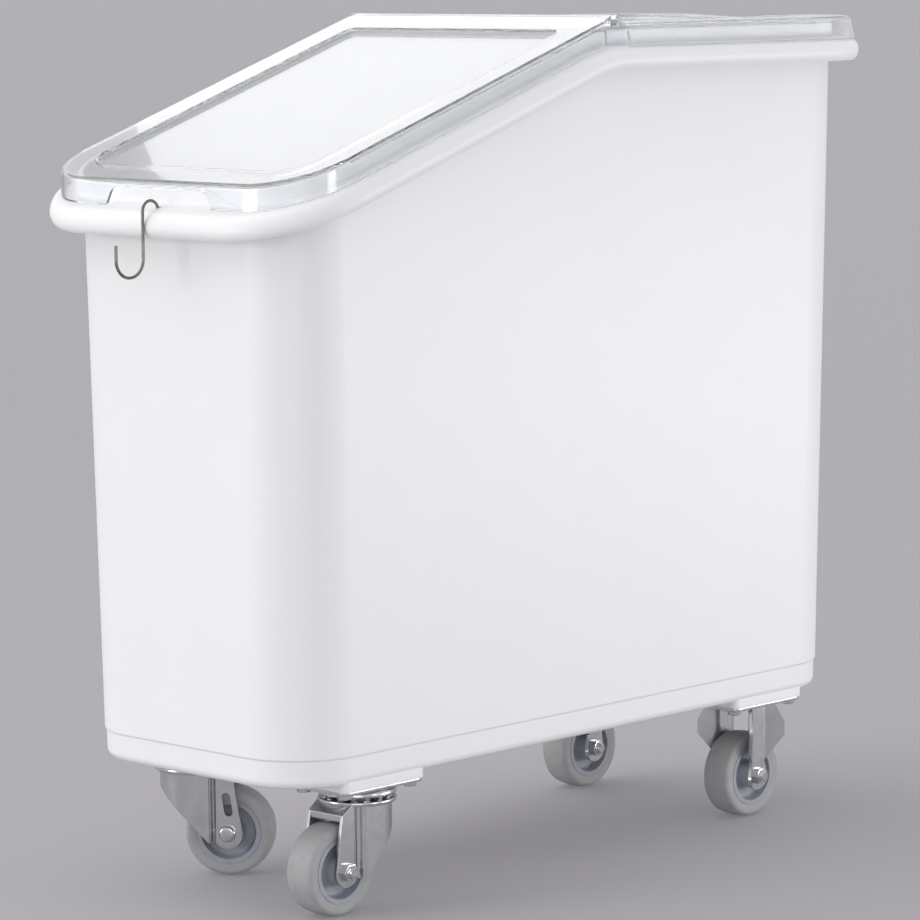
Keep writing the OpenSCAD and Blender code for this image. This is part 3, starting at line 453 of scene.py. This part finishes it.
def makeFrontLid():
    s = lidSize
    bm = bmesh.new()

    def lidLoop(inset, rearInset, frontR, rearR, z):
        rear = s["hingeY"] - rearInset
        return roundLoop(bm, s["halfW"] - inset, s["front"] + inset, rear, frontR, rearR, z)

    # faces of the skirt's front within a reach of its middle
    def frontFaces(reach):
        middles = [(f, f.calc_center_median()) for f in bm.faces]
        return [f for f, m in middles if abs(m.y - s["front"]) < near and abs(m.x) < reach]

    panel = lidLoop(s["frame"] + s["lean"], s["rearFrame"] + s["lean"], s["panelR"], s["panelRearR"],
                    s["top"] - s["panelDepth"])
    brink = lidLoop(s["frame"], s["rearFrame"], s["panelR"], s["panelRearR"], s["top"])
    shoulder = lidLoop(0, 0, s["cornerR"], s["rearR"], s["top"])
    foot = lidLoop(0, 0, s["cornerR"], s["rearR"], s["foot"])
    skinLoops(bm, [panel, brink, shoulder, foot], ends=(0,))
    roundEdges(bm, shoulder, s["shoulder"], 7)
    roundEdges(bm, brink, s["edge"], 3)
    roundEdges(bm, panel, s["edge"], 3)

    # the skirt stops just before the kink, and the rear corners leave room for the hinge lugs
    skirt = [f for f in bm.faces if min(v.co.z for v in f.verts) < s["foot"] + near]
    cutFaces(bm, skirt, (0, s["skirtEnd"], 0), (0, 1, 0), True)
    room = s["barrelHalf"]
    for place, normal in (((room, 0, 0), (1, 0, 0)), ((-room, 0, 0), (1, 0, 0)),
                          ((0, s["lugRoomY"], 0), (0, 1, 0))):
        back = [f for f in bm.faces if max(v.co.y for v in f.verts) > s["skirtEnd"]]
        cutFaces(bm, back, place, normal)
    corners = [f for f in bm.faces if f.calc_center_median().y > s["lugRoomY"]
               and abs(f.calc_center_median().x) > room]
    bmesh.ops.delete(bm, geom=corners, context="FACES")

    # thumb notch in the front of the skirt
    notchTop, halfW = s["foot"] + s["notchH"], s["notchW"] / 2
    for side in (-1, 1):
        cutFaces(bm, frontFaces(s["halfW"]), (side * halfW, 0, s["foot"]), (side, 0, s["notchLean"]))
    cutFaces(bm, frontFaces(halfW / 2), (0, 0, notchTop), (0, 0, 1))
    opening = [f for f in frontFaces(halfW / 2) if f.calc_center_median().z < notchTop]
    bmesh.ops.delete(bm, geom=opening, context="FACES")
    bends = [v for v in bm.verts if abs(v.co.y - s["front"]) < near and abs(v.co.z - notchTop) < near
             and abs(v.co.x) < halfW]
    roundCorners(bm, bends, s["notchR"], 5)

    bmesh.ops.recalc_face_normals(bm, faces=bm.faces)
    bmesh.ops.solidify(bm, geom=bm.faces[:], thickness=s["sheet"])
    lean = Matrix.Identity(4)
    lean[2][1] = slope
    bmesh.ops.transform(bm, matrix=lean, verts=bm.verts)

    # hinge barrel along the rear edge, bored for the pins
    barrel, bore = bmesh.new(), bmesh.new()
    end = s["barrelHalf"] - s["fine"]
    addRod(barrel, s["hingeR"], -end, end, s["hingeY"], s["hingeZ"])
    roundSharp(barrel, s["softEdge"], 2)
    for side in (-1, 1):
        ends = sorted((side * (end - s["boreDepth"]), side * (end + spare)))
        addRod(bore, s["boreR"], *ends, s["hingeY"], s["hingeZ"], roundSteps["hole"])
    bm = joinSolids(bm, [("UNION", barrel), ("DIFFERENCE", bore)])
    finishPiece(bm, "frontLid", "front_lid", ["front_lid"], polycarbonate)


makeFrontLid()
print("front lid made")

coverSize = {
    **sharedByLids, "halfW": 161.5, "front": 19.6, "rear": 368.5, "top": 705, "cornerR": 79.5, "frontR": 3,
    "draft": 3.5, "frame": 40, "panelDepth": 6.5, "lean": 1.75, "panelR": 26.75, "wallRise": 0.6,
    "dipW": 150, "dipDepth": 2.5, "dipSteps": 12, "ledgeZ": 701.3, "ledgeY": 0.3, "ledgeHalf": 153.7,
    "ledgeSheet": 2.4, "ledgeRear": 22.6, "lugIn": 148.7, "lugOut": 153.7, "cheek": 2.5, "bite": 1}


def makeRearCover():
    s = coverSize
    bm = bmesh.new()

    def coverLoop(inset, frontInset, frontR, rearR, z):
        front = s["front"] + frontInset
        return roundLoop(bm, s["halfW"] - inset, front, s["rear"] - inset, frontR, rearR, z)

    deep = s["frame"] + s["lean"]
    panel = coverLoop(deep, deep, s["panelR"], s["panelR"], s["top"] - s["panelDepth"])
    brink = coverLoop(s["frame"], s["frame"], s["panelR"], s["panelR"], s["top"])
    crest = coverLoop(2 * s["draft"], 0, s["frontR"], s["cornerR"] - 2 * s["draft"], s["top"])
    shoulder = coverLoop(s["draft"], 0, s["frontR"], s["cornerR"] - s["draft"], s["top"] - s["sheet"])
    foot = coverLoop(0, 0, s["frontR"], s["cornerR"], s["foot"])
    skinLoops(bm, [panel, brink, crest, shoulder, foot], ends=(0,))

    # the front is left open, so the faces there that stand upright go
    front = [f for f in bm.faces if max(v.co.y for v in f.verts) < s["front"] + s["frontR"] + near
             and abs(f.normal.z) < s["wallRise"]]
    bmesh.ops.delete(bm, geom=front, context="FACES")

    # finger dip in the middle of the rear frame
    brinkY = s["rear"] - s["frame"]
    for i in range(s["dipSteps"] + 1):
        x = s["dipW"] * (i / s["dipSteps"] - 0.5)
        back = [f for f in bm.faces if min(v.co.y for v in f.verts) > brinkY - s["lean"] - spare]
        cutFaces(bm, back, (x, 0, 0), (1, 0, 0))
    for v in bm.verts:
        onFrame = v.co.y > brinkY - spare and v.co.z > s["top"] - s["sheet"] - spare
        if onFrame and abs(v.co.x) < s["dipW"] / 2:
            v.co.z -= s["dipDepth"] * (1 + math.cos(2 * math.pi * v.co.x / s["dipW"])) / 2
    roundSharp(bm, s["edge"], 3, 30)

    bmesh.ops.recalc_face_normals(bm, faces=bm.faces)
    bmesh.ops.solidify(bm, geom=bm.faces[:], thickness=s["sheet"])

    # ledge, lugs and cheeks that carry the front lid's hinge
    ledge, lugs, cheeks, bore = [bmesh.new() for i in range(4)]
    low, fine, r = s["ledgeZ"] - s["ledgeSheet"], s["fine"], s["hingeR"]
    root, top, wall = low + s["bite"], s["top"] - fine, s["front"] + fine
    addStrip(ledge, ((s["ledgeY"], low), (s["ledgeRear"], low), (s["ledgeRear"], top), (wall, top),
                     (wall, s["ledgeZ"]), (s["ledgeY"], s["ledgeZ"])), s["ledgeHalf"], s["softEdge"])
    tombstone = [(s["hingeY"] - r, root), (s["hingeY"] + r, root)]
    tombstone += arcPoints(s["hingeY"], s["hingeZ"], r, 0, 180, 16)
    for side in (-1, 1):
        inner, outer = sorted((side * s["lugIn"], side * (s["lugOut"] - fine)))
        addProfile(lugs, tombstone, inner, outer)
        ends = (inner - spare, outer + spare)
        addRod(bore, s["boreR"], *ends, s["hingeY"], s["hingeZ"], roundSteps["hole"])
        inner, outer = sorted((side * (s["lugOut"] - s["cheek"]), side * (s["lugOut"] - fine)))
        addBox(cheeks, (inner, s["ledgeY"] + fine, s["foot"]), (outer, s["ledgeRear"] - fine, root))
    roundSharp(lugs, s["softEdge"], 2)
    roundSharp(cheeks, s["softEdge"], 2)
    bm = joinSolids(bm, [("UNION", ledge), ("UNION", lugs), ("UNION", cheeks), ("DIFFERENCE", bore)])
    finishPiece(bm, "rearCover", "rear_cover", ["rear_cover"], polycarbonate)


makeRearCover()
print("rear cover made")

hookSize = {
    "wireR": 1.25, "tipY": -357.05, "bendY": -365.3, "bendZ": 564.03, "bendR": 8.25, "tail": 5,
    "shank": 37, "lowerR": 14.2, "tip": 12, "sides": 16, "bendSteps": 18, "endEdge": 0.4, "endDeg": 50}


def makeHook():
    s = hookSize
    bm = bmesh.new()
    start = Matrix.Translation((0, s["tipY"], s["bendZ"] - s["tail"]))
    bmesh.ops.create_circle(bm, cap_ends=False, segments=s["sides"], radius=s["wireR"], matrix=start)

    def push(edges, way):
        made = bmesh.ops.extrude_edge_only(bm, edges=edges)["geom"]
        bmesh.ops.translate(bm, vec=way, verts=pick(made, bmesh.types.BMVert))
        return [e for e in pick(made, bmesh.types.BMEdge) if all(v in made for v in e.verts)]

    def bend(edges, centre, angle):
        made = bmesh.ops.spin(bm, geom=edges + loopVerts(edges), cent=centre, axis=(1, 0, 0), angle=angle,
                              steps=s["bendSteps"], use_duplicate=False)["geom_last"]
        return pick(made, bmesh.types.BMEdge)

    ring = push(bm.edges[:], (0, 0, s["tail"]))
    ring = bend(ring, (0, s["bendY"], s["bendZ"]), math.pi)
    ring = push(ring, (0, 0, -s["shank"]))
    lowerY = s["bendY"] - s["bendR"] - s["lowerR"]
    ring = bend(ring, (0, lowerY, s["bendZ"] - s["shank"]), -math.pi)
    push(ring, (0, 0, s["tip"]))
    bmesh.ops.holes_fill(bm, edges=bm.edges[:])
    roundSharp(bm, s["endEdge"], 2, s["endDeg"])
    finishPiece(bm, "scoopHook", "scoop_hook", ["scoop_hook"], springWire)


makeHook()
print("hook made")

# side and end of the tub whose pad carries each caster, and its fork's turn at rest
casterSpots = {"fl": (-1, -1, 127.7), "fr": (1, -1, 0), "rl": (-1, 1, 0), "rr": (1, 1, 0)}


def casterPlace(corner, turned=True):
    side, end, turn = casterSpots[corner]
    spot = Matrix.Translation((side * tubSize["padX"], end * tubSize["padY"], 0))
    return spot @ Matrix.Rotation(math.radians(turn if turned else 0), 4, "Z")


def finishCasterPiece(bm, corner, name, node, body, material, turned=True):
    finishPiece(bm, corner + name, body, [corner + node], material, casterPlace(corner, turned))


# ring of edges in a plane across X; stretch draws a circle out into a slot
def addHole(bm, x, y, z, radius, stretch=0, leanDeg=0):
    sides = roundSteps["hole"]
    spot = Matrix.Translation((x, y, z)) @ Matrix.Rotation(math.radians(-leanDeg), 4, "X")
    upright = Matrix.Rotation(math.pi / 2, 4, "Y") @ Matrix.Rotation(math.pi / sides, 4, "Z")
    verts = bmesh.ops.create_circle(bm, segments=sides, radius=radius, matrix=upright)["verts"]
    for v in verts:
        v.co.z += math.copysign(stretch, v.co.z)
    bmesh.ops.transform(bm, matrix=spot, verts=verts)
    return list({e for v in verts for e in v.link_edges})


def pierceFace(bm, face, holes):
    border = list(face.edges)
    bmesh.ops.delete(bm, geom=[face], context="FACES_ONLY")
    bmesh.ops.triangle_fill(bm, use_beauty=True, edges=border + holes)


# the rearmost face says whether the sheet lies the right way round
def thickenSheet(bm, sheet, edge, facesOut):
    bmesh.ops.recalc_face_normals(bm, faces=bm.faces)
    if not facesOut(max(bm.faces, key=lambda f: f.calc_center_median().y)):
        bmesh.ops.reverse_faces(bm, faces=bm.faces)
    bmesh.ops.solidify(bm, geom=bm.faces[:], thickness=sheet)
    roundSharp(bm, edge, 2, 60)


# raceTop is the race's round shoulder: up from the underside of the plate, and in from the race's edge
plateSize = {
    "halfW": 32, "halfL": 45, "cornerR": 6, "low": 101.5, "top": 104.5, "edge": 0.6, "raceR": 32,
    "raceLow": 95.5, "raceBore": 6.3, "raceTop": ((0.4, 3.2), (-0.8, 1.4), (-2.4, 0.3), (-3.6, 0)),
    "raceEdge": 0.8, "grooveR": 25, "grooveHalf": 2.6, "grooveDepth": 1.4}


def addPlate(bm):
    s = plateSize
    loops = [roundLoop(bm, s["halfW"], -s["halfL"], s["halfL"], s["cornerR"], s["cornerR"], z, steps=6)
             for z in (s["low"], s["top"])]
    skinLoops(bm, loops, ends=(0, 1))
    roundEdges(bm, loops[0] + loops[1], s["edge"], 2)


def makeSwivelPlate(corner):
    s = plateSize
    bm = bmesh.new()
    addPlate(bm)
    low, r, groove, edge = s["raceLow"], s["raceR"], s["grooveR"], s["raceEdge"]
    outline = [(s["low"] + up, r - inward) for up, inward in s["raceTop"]]
    outline += [(low + edge, r), (low, r - edge), (low, groove + s["grooveHalf"]),
                (low + s["grooveDepth"], groove), (low, groove - s["grooveHalf"]), (low, s["raceBore"])]
    outline.insert(0, (outline[0][0], s["raceBore"]))
    addTurned(bm, outline, (0, 0, 1), (0, 0, 0), roundSteps["race"], True)
    finishCasterPiece(bm, corner, "Plate", "_plate", "bin", zincSheet, False)


# what the legs of both kinds of fork share
legSize = {"sheet": 2.8, "edge": 0.55, "legOuter": 19.8, "legR": 12.7, "axleZ": 37.5, "axleHoleR": 4.1}
# crownFoot and crownEdge are the crown's round edges: up or down from its face, and in from its edge
forkSize = {
    **legSize, "legEndDeg": (190, 320, 10), "trail": 31, "cowlHalf": 25.8, "cowlBack": 28, "cowlCornerR": 24,
    "stepY": -18.3, "stepBend": 3, "bendSteps": 8, "low": 15, "top": 90.5, "frontTop": (-35.7, 83),
    "slopeTop": (-25.6, 90.5), "toe": (-15.5, 30.5), "heel": (29, 78), "slotW": 7, "slotL": 20,
    "slotRise": 24.5, "slotLeanDeg": 9, "apronHalf": 19.6, "apronFoot": 77.6, "apronRise": 0.2,
    "apronEdge": 0.9, "crownR": plateSize["raceR"], "crownBore": plateSize["raceBore"], "crownLow": 88.5,
    "crownTop": 92.5, "crownFoot": ((0, 2), (0.6, 0.6), (2, 0)),
    "crownEdge": ((1.2, 0), (0.35, 0.35), (0, 1.2))}


def makeSwivelFork(corner):
    s = forkSize
    bm = bmesh.new()
    out, wide, front = s["legOuter"], s["cowlHalf"], -s["trail"] - s["legR"]
    half = ((out, front), (out, s["stepY"]), (wide, s["stepY"]), (wide, s["cowlBack"]))
    spots = half + tuple((-x, y) for x, y in reversed(half))
    corners = [bm.verts.new((x, y, s["low"])) for x, y in spots]
    bm.faces.new(corners)
    for picks, radius in (((1, 2, 5, 6), s["stepBend"]), ((3, 4), s["cowlCornerR"])):
        roundCorners(bm, [corners[i] for i in picks], radius, s["bendSteps"])
    bmesh.ops.remove_doubles(bm, verts=bm.verts, dist=near)
    bmesh.ops.delete(bm, geom=bm.faces[:], context="FACES_ONLY")
    mouth = [e for e in bm.edges if all(v.co.y < front + near for v in e.verts)]
    bmesh.ops.delete(bm, geom=mouth, context="EDGES")
    raised = bmesh.ops.extrude_edge_only(bm, edges=bm.edges[:])["geom"]
    bmesh.ops.translate(bm, vec=(0, 0, s["top"] - s["low"]), verts=pick(raised, bmesh.types.BMVert))

    # the pressed outline: leaning front edge, sloped shoulder, round leg end, cowl cut up towards the back
    legEdge = s["stepY"] - s["stepBend"] + near

    def legFaces():
        return [f for f in bm.faces if max(v.co.y for v in f.verts) < legEdge]

    def cowlFaces():
        return [f for f in bm.faces if max(v.co.y for v in f.verts) >= legEdge]

    (fy, fz), (ty, tz) = s["frontTop"], s["slopeTop"]
    cutFaces(bm, legFaces(), (0, fy, fz), (0, s["axleZ"] - fz, fy - front), True)
    cutFaces(bm, legFaces(), (0, fy, fz), (0, fz - tz, ty - fy), True)
    for a in range(*s["legEndDeg"]):
        y, z = math.cos(math.radians(a)), math.sin(math.radians(a))
        cutFaces(bm, legFaces(), (0, y * s["legR"] - s["trail"], z * s["legR"] + s["axleZ"]), (0, y, z), True)
    (toeY, toeZ), (heelY, heelZ) = s["toe"], s["heel"]
    cutFaces(bm, cowlFaces(), (0, 0, toeZ), (0, 0, -1), True)
    cutFaces(bm, cowlFaces(), (0, toeY, toeZ), (0, heelZ - toeZ, toeY - heelY), True)
    for leg in legFaces():
        x = leg.calc_center_median().x
        holes = addHole(bm, x, -s["trail"], s["axleZ"], s["axleHoleR"])
        if x < 0:
            holes += addHole(bm, x, -s["trail"], s["axleZ"] + s["slotRise"], s["slotW"] / 2,
                             (s["slotL"] - s["slotW"]) / 2, s["slotLeanDeg"])
        pierceFace(bm, leg, holes)
    thickenSheet(bm, s["sheet"], s["edge"], lambda face: face.normal.y > 0)

    # apron over the tread, and the crown that carries the balls
    t, rise, foot = s["sheet"], s["apronRise"], s["apronFoot"]
    addStrip(bm, ((ty + t, tz + rise), (ty, tz + rise), (fy, fz + rise), (fy, foot), (fy + t, foot),
                  (fy + t, fz - t / 2), (ty + t, tz - t)), s["apronHalf"], s["apronEdge"])
    low, top, r, bore = s["crownLow"], s["crownTop"], s["crownR"], s["crownBore"]
    outline = [(low, bore)] + [(low + up, r - inset) for up, inset in s["crownFoot"]]
    outline += [(top - down, r - inset) for down, inset in s["crownEdge"]] + [(top, bore)]
    addTurned(bm, outline, (0, 0, 1), (0, 0, 0), roundSteps["race"], True)
    finishCasterPiece(bm, corner, "Fork", "_fork", corner + "_swivel", zincSheet)


rigidSize = {
    **legSize, "legEndDeg": (-10, -170), "legEndSteps": 16, "top": 103, "foldY": 10.1, "foldR": 9,
    "foldDeg": 45, "foldSteps": 8, "footReach": 8, "plateLow": plateSize["low"], "reach": 17,
    "wingHigh": 84.5, "wingLow": 72.6, "wingRoot": 50.2}


# one leg, drawn flat and then folded back at both edges into wings
def makeRigidLeg():
    s = rigidSize
    leg = bmesh.new()
    angle = math.radians(s["foldDeg"])
    start = s["foldY"] - s["foldR"] * math.tan(angle / 2)
    end = start + s["foldR"] * angle
    wing = end - s["foldR"] * math.tan(angle / 2)
    foot, reach = wing + s["footReach"], wing + s["reach"]
    side = [(foot, s["top"]), (foot, s["plateLow"]), (reach, s["wingHigh"]), (reach, s["wingLow"]),
            (wing - s["sheet"] / 2, s["wingRoot"])]
    outline = side + arcPoints(0, s["axleZ"], s["legR"], *s["legEndDeg"], s["legEndSteps"])
    outline += [(-y, z) for y, z in reversed(side)]
    face = leg.faces.new([leg.verts.new((0, y, z)) for y, z in outline])
    pierceFace(leg, face, addHole(leg, 0, 0, s["axleZ"], s["axleHoleR"]))
    for i in range(s["foldSteps"] + 1):
        y = start + (end - start) * i / s["foldSteps"]
        cutFaces(leg, leg.faces[:], (0, y, 0), (0, 1, 0))
        cutFaces(leg, leg.faces[:], (0, -y, 0), (0, 1, 0))
    for v in leg.verts:
        past = abs(v.co.y) - start
        if past > 0:
            turn = min(past / s["foldR"], angle)
            rest = max(0, abs(v.co.y) - end)
            v.co.x = s["foldR"] * (1 - math.cos(turn)) + rest * math.sin(turn)
            v.co.y = math.copysign(start + s["foldR"] * math.sin(turn) + rest * math.cos(turn), v.co.y)
    bmesh.ops.translate(leg, vec=(s["legOuter"], 0, 0), verts=leg.verts)
    thickenSheet(leg, s["sheet"], s["edge"], lambda face: face.normal.x > 0)
    return leg


def makeRigidFork(corner):
    bm = bmesh.new()
    addPlate(bm)
    for mirrored in (True, False):
        leg = makeRigidLeg()
        if mirrored:
            bmesh.ops.mirror(leg, geom=leg.verts[:] + leg.edges[:] + leg.faces[:], axis="X", merge_dist=0)
        mesh = bpy.data.meshes.new("leg")
        leg.to_mesh(mesh)
        leg.free()
        bm.from_mesh(mesh)
        bpy.data.meshes.remove(mesh)
    finishCasterPiece(bm, corner, "Fork", "_fork", "bin", zincSheet)


screwSize = {
    "spanX": 23, "spanY": 37, "flats": 10, "headLow": 97.5, "headTop": plateSize["low"], "chamfer": 0.8,
    "shankR": 3, "shankTop": 113.5}


# hexagon with its outer end chamfered, along an axis
def addHexagon(bm, flats, start, end, turn, chamfer):
    r = flats / 2 / math.cos(math.pi / 6)
    spot = turn @ Matrix.Translation((0, 0, (start + end) / 2))
    made = bmesh.ops.create_cone(bm, cap_ends=True, segments=6, radius1=r, radius2=r,
                                 depth=abs(end - start), matrix=spot)
    outer = turn @ Vector((0, 0, end))
    edges = {e for v in made["verts"] for e in v.link_edges}
    rim = [e for e in edges if all((v.co - outer).length < r + near for v in e.verts)]
    roundEdges(bm, rim, chamfer, 2)


def makeScrews(corner):
    s = screwSize
    bm = bmesh.new()
    for x in (-s["spanX"], s["spanX"]):
        for y in (-s["spanY"], s["spanY"]):
            spot = Matrix.Translation((x, y, 0))
            addHexagon(bm, s["flats"], s["headTop"], s["headLow"], spot, s["chamfer"])
            addPost(bm, s["shankR"], x, y, s["headTop"] - spare, s["shankTop"], roundSteps["hole"])
    finishCasterPiece(bm, corner, "Screws", "_screws", "bin", zincFastener, False)


# dome and collarRound are the round ends: in from the end, and in from the edge
axleSize = {
    "headR": 7, "head": 4, "dome": ((0, 2.4), (0.3, 1.3), (1, 0.4), (2, 0)), "shankR": 4, "shankEnd": 27.3,
    "shankChamfer": 0.8, "flats": 13, "nut": 5, "chamfer": 0.9, "collarR": 5.4, "collarEnd": 26.3,
    "collarRound": ((0.9, 0), (0.25, 0.3), (0, 0.9)), "collarSink": 0.5, "collarDish": 0.4,
    "collarPlay": 0.1}


def makeAxle(corner, body, centre):
    s = axleSize
    alongX = (1, 0, 0)
    out, shank, end, chamfer = legSize["legOuter"], s["shankR"], s["shankEnd"], s["shankChamfer"]
    bm = bmesh.new()
    outline = [(-out - s["head"], 0)]
    outline += [(-out - s["head"] + inEnd, s["headR"] - inEdge) for inEnd, inEdge in s["dome"]]
    outline += [(-out, s["headR"]), (-out, shank), (end - chamfer, shank), (end, shank - chamfer), (end, 0)]
    addTurned(bm, outline, alongX, centre, roundSteps["bolt"])
    finishCasterPiece(bm, corner, "AxleBolt", "_axle_bolt", body, zincFastener)

    # locking nut: a hexagon with a round collar
    bm = bmesh.new()
    sideways = Matrix.Translation(centre) @ Matrix.Rotation(math.pi / 2, 4, "Y")
    addHexagon(bm, s["flats"], out, out + s["nut"], sideways, s["chamfer"])
    root, end, bore = out + s["nut"] - s["collarSink"], s["collarEnd"], shank + s["collarPlay"]
    outline = [(root, bore), (root, s["collarR"])]
    outline += [(end - inEnd, s["collarR"] - inEdge) for inEnd, inEdge in s["collarRound"]]
    outline += [(end - s["collarDish"], bore)]
    addTurned(bm, outline, alongX, centre, roundSteps["bolt"], True)
    finishCasterPiece(bm, corner, "AxleNut", "_axle_nut", body, zincFastener)


wheelSize = {
    "tyreR": 37.5, "tyreHalf": 14, "shoulder": 4, "shoulderDeg": 82, "crown": 0.9,
    "crownShares": (0.8, 0.55, 0.25), "tyreBore": 27.05, "beadIn": 0.6, "beadOut": 0.8, "hubR": 27,
    "hubHalf": 13.95, "rimR": 23, "rimLean": 1, "webHalf": 4.5, "bossR": 11, "bossHalf": 16.5, "bore": 6.1,
    "fillet": 3, "edge": 0.7}


def addWheelRing(bm, half, centre):
    outline = [(-a, r) for a, r in half] + [(a, r) for a, r in reversed(half)]
    addTurned(bm, outline, (1, 0, 0), centre, roundSteps["wheel"], True)


def makeWheel(corner, centre):
    s = wheelSize
    body = corner + "_wheel"
    tread = s["tyreHalf"] - s["shoulder"]
    half = [(s["tyreHalf"] - s["beadIn"], s["tyreBore"]), (s["tyreHalf"], s["tyreBore"] + s["beadOut"])]
    half += arcPoints(tread, s["tyreR"] - s["crown"] - s["shoulder"], s["shoulder"], 0, s["shoulderDeg"], 7)
    half += [(tread * share, s["tyreR"] - s["crown"] * share * share) for share in s["crownShares"]]
    bm = bmesh.new()
    addWheelRing(bm, half, centre)
    finishCasterPiece(bm, corner, "Tyre", "_tyre", body, greyRubber)

    web, f, e = s["webHalf"], s["fillet"], s["edge"]
    half = [(s["hubHalf"], s["hubR"])] + arcPoints(s["hubHalf"] - e, s["rimR"] + e, e, 0, -90, 4)
    half += arcPoints(web + f, s["rimR"] - s["rimLean"] - f, f, 90, 180, 5)
    half += arcPoints(web + f, s["bossR"] + s["rimLean"] + f, f, 180, 270, 5)
    half += arcPoints(s["bossHalf"] - e, s["bossR"] - e, e, 90, 0, 4) + [(s["bossHalf"], s["bore"])]
    bm = bmesh.new()
    addWheelRing(bm, half, centre)
    finishCasterPiece(bm, corner, "Hub", "_hub", body, hubPlastic)


for corner in casterSpots:
    swivels = corner[0] == "f"
    centre = (0, -forkSize["trail"] if swivels else 0, legSize["axleZ"])
    if swivels:
        makeSwivelPlate(corner)
        makeSwivelFork(corner)
    else:
        makeRigidFork(corner)
    makeScrews(corner)
    makeAxle(corner, corner + "_swivel" if swivels else "bin", centre)
    makeWheel(corner, centre)
print("casters made")

# the solids that stay are all turned steel
turnedEndings = ("_axle_sleeve", "_balls", "_king_pin", "hinge_pins")
for name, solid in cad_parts.items():
    if name.endswith(turnedEndings):
        solid.data.materials.clear()
        solid.data.materials.append(zincFastener)
print("solids finished")

stageSize = {"floor": "#939194", "roughness": 0.85, "reachM": 160, "world": "#f4f4f6", "worldStrength": 0.77}


def makeStage():
    s = stageSize
    bm = bmesh.new()
    bmesh.ops.create_circle(bm, cap_ends=True, segments=64, radius=s["reachM"])
    mesh = bpy.data.meshes.new("studioFloor")
    bm.to_mesh(mesh)
    bm.free()
    floor = bpy.data.objects.new("studioFloor", mesh)
    bpy.context.scene.collection.objects.link(floor)
    # seamless backdrop paper: plain matt grey
    look = {"Roughness": s["roughness"], "Base Color": linear(s["floor"])}
    mesh.materials.append(startMaterial("backdropPaper", look)[0])
    world = bpy.data.worlds.new("studioAir")
    world.use_nodes = True
    sky = world.node_tree.nodes["Background"]
    sky.inputs["Color"].default_value = linear(s["world"])
    sky.inputs["Strength"].default_value = s["worldStrength"]
    bpy.context.scene.world = world
    return floor


studioFloor = makeStage()

# the ceiling panel is far away and lights the whole floor alike; the floor fill reaches the floor alone and
# casts no shadow, so the bin's shadow stays light; the boxes stand close to the bin, and those with
# sparesFloor leave no bright patch on the floor
ceilingLamp = {"name": "ceilingPanel", "from": (-0.5, -0.4, 0.77), "strength": 0.92, "spreadDeg": 60}
floorLamp = {"name": "floorFill", "from": (0, 0, 1), "strength": 1.35, "spreadDeg": 1}
boxLamps = [
    {"name": "frontBox", "place": (-1.2, -3.0, 0.8), "aim": (0, -0.2, 0.4), "size": (1.2, 1.0),
     "power": 23, "sparesFloor": False},
    {"name": "sideBox", "place": (2.3, 0.1, 0.4), "aim": (0.1, 0.1, 0.3), "size": (0.5, 0.5),
     "power": 3.2, "sparesFloor": True},
    {"name": "lowBox", "place": (1.6, 1.4, 0.2), "aim": (0.1, 0.5, 0.3), "size": (1.2, 0.35),
     "power": 11, "sparesFloor": True},
    {"name": "cornerCard", "place": (1.45, -1.55, 0.25), "aim": (0.1, -0.2, 0.2), "size": (0.8, 0.4),
     "power": 3.4, "sparesFloor": True},
    {"name": "lidBox", "place": (-1.6, 1.72, 2.2), "aim": (0, -0.17, 0.63), "size": (1.744, 1.4),
     "power": 6.8, "sparesFloor": True}]


def placeLamp(light, place, aim):
    holder = bpy.data.objects.new(light.name, light)
    holder.location = place
    holder.rotation_euler = (Vector(aim) - Vector(place)).to_track_quat("-Z", "Y").to_euler()
    bpy.context.scene.collection.objects.link(holder)
    return holder


def placeSun(lamp):
    sun = bpy.data.lights.new(lamp["name"], "SUN")
    sun.energy = lamp["strength"]
    sun.angle = math.radians(lamp["spreadDeg"])
    return placeLamp(sun, lamp["from"], (0, 0, 0))


def makeLamps():
    shaded = bpy.data.collections.new("floorWithoutBoxes")
    shaded.objects.link(studioFloor)
    shaded.collection_objects[0].light_linking.link_state = "EXCLUDE"
    lit = bpy.data.collections.new("floorAlone")
    lit.objects.link(studioFloor)
    placeSun(ceilingLamp)
    fill = placeSun(floorLamp)
    fill.data.use_shadow = False
    fill.light_linking.receiver_collection = lit
    for lamp in boxLamps:
        box = bpy.data.lights.new(lamp["name"], "AREA")
        box.shape = "RECTANGLE"
        box.size, box.size_y = lamp["size"]
        box.energy = lamp["power"]
        holder = placeLamp(box, lamp["place"], lamp["aim"])
        if lamp["sparesFloor"]:
            holder.light_linking.receiver_collection = shaded


makeLamps()
print("stage and lamps made")

# the camera was fitted to the rim, the wheels and the lower edge of the tub; the picture is square
cameraSize = {
    "placeMm": (2395.6, -2524.4, 767.7), "right": (0.72377, 0.69, -0.00797),
    "up": (-0.07987, 0.09524, 0.99225), "back": (0.6854, -0.71752, 0.12404), "lensMm": 160.74,
    "sensorMm": 36, "seesM": 400}


def makeCamera():
    s = cameraSize
    data = bpy.data.cameras.new("studioCamera")
    data.lens = s["lensMm"]
    data.sensor_width = s["sensorMm"]
    data.clip_end = s["seesM"]
    camera = bpy.data.objects.new("studioCamera", data)
    turn = Matrix((s["right"], s["up"], s["back"])).transposed().to_4x4()
    x, y, z = s["placeMm"]
    camera.matrix_world = Matrix.Translation((x * mm, y * mm + midY, z * mm)) @ turn
    bpy.context.scene.collection.objects.link(camera)
    bpy.context.scene.camera = camera


makeCamera()
bpy.context.scene.view_settings.view_transform = "Standard"
# light runs a long way inside the clear lids before it comes out
bounceLimits = {"max_bounces": 24, "glossy_bounces": 20, "transmission_bounces": 24}
for name, limit in bounceLimits.items():
    setattr(bpy.context.scene.cycles, name, limit)
print("camera set")
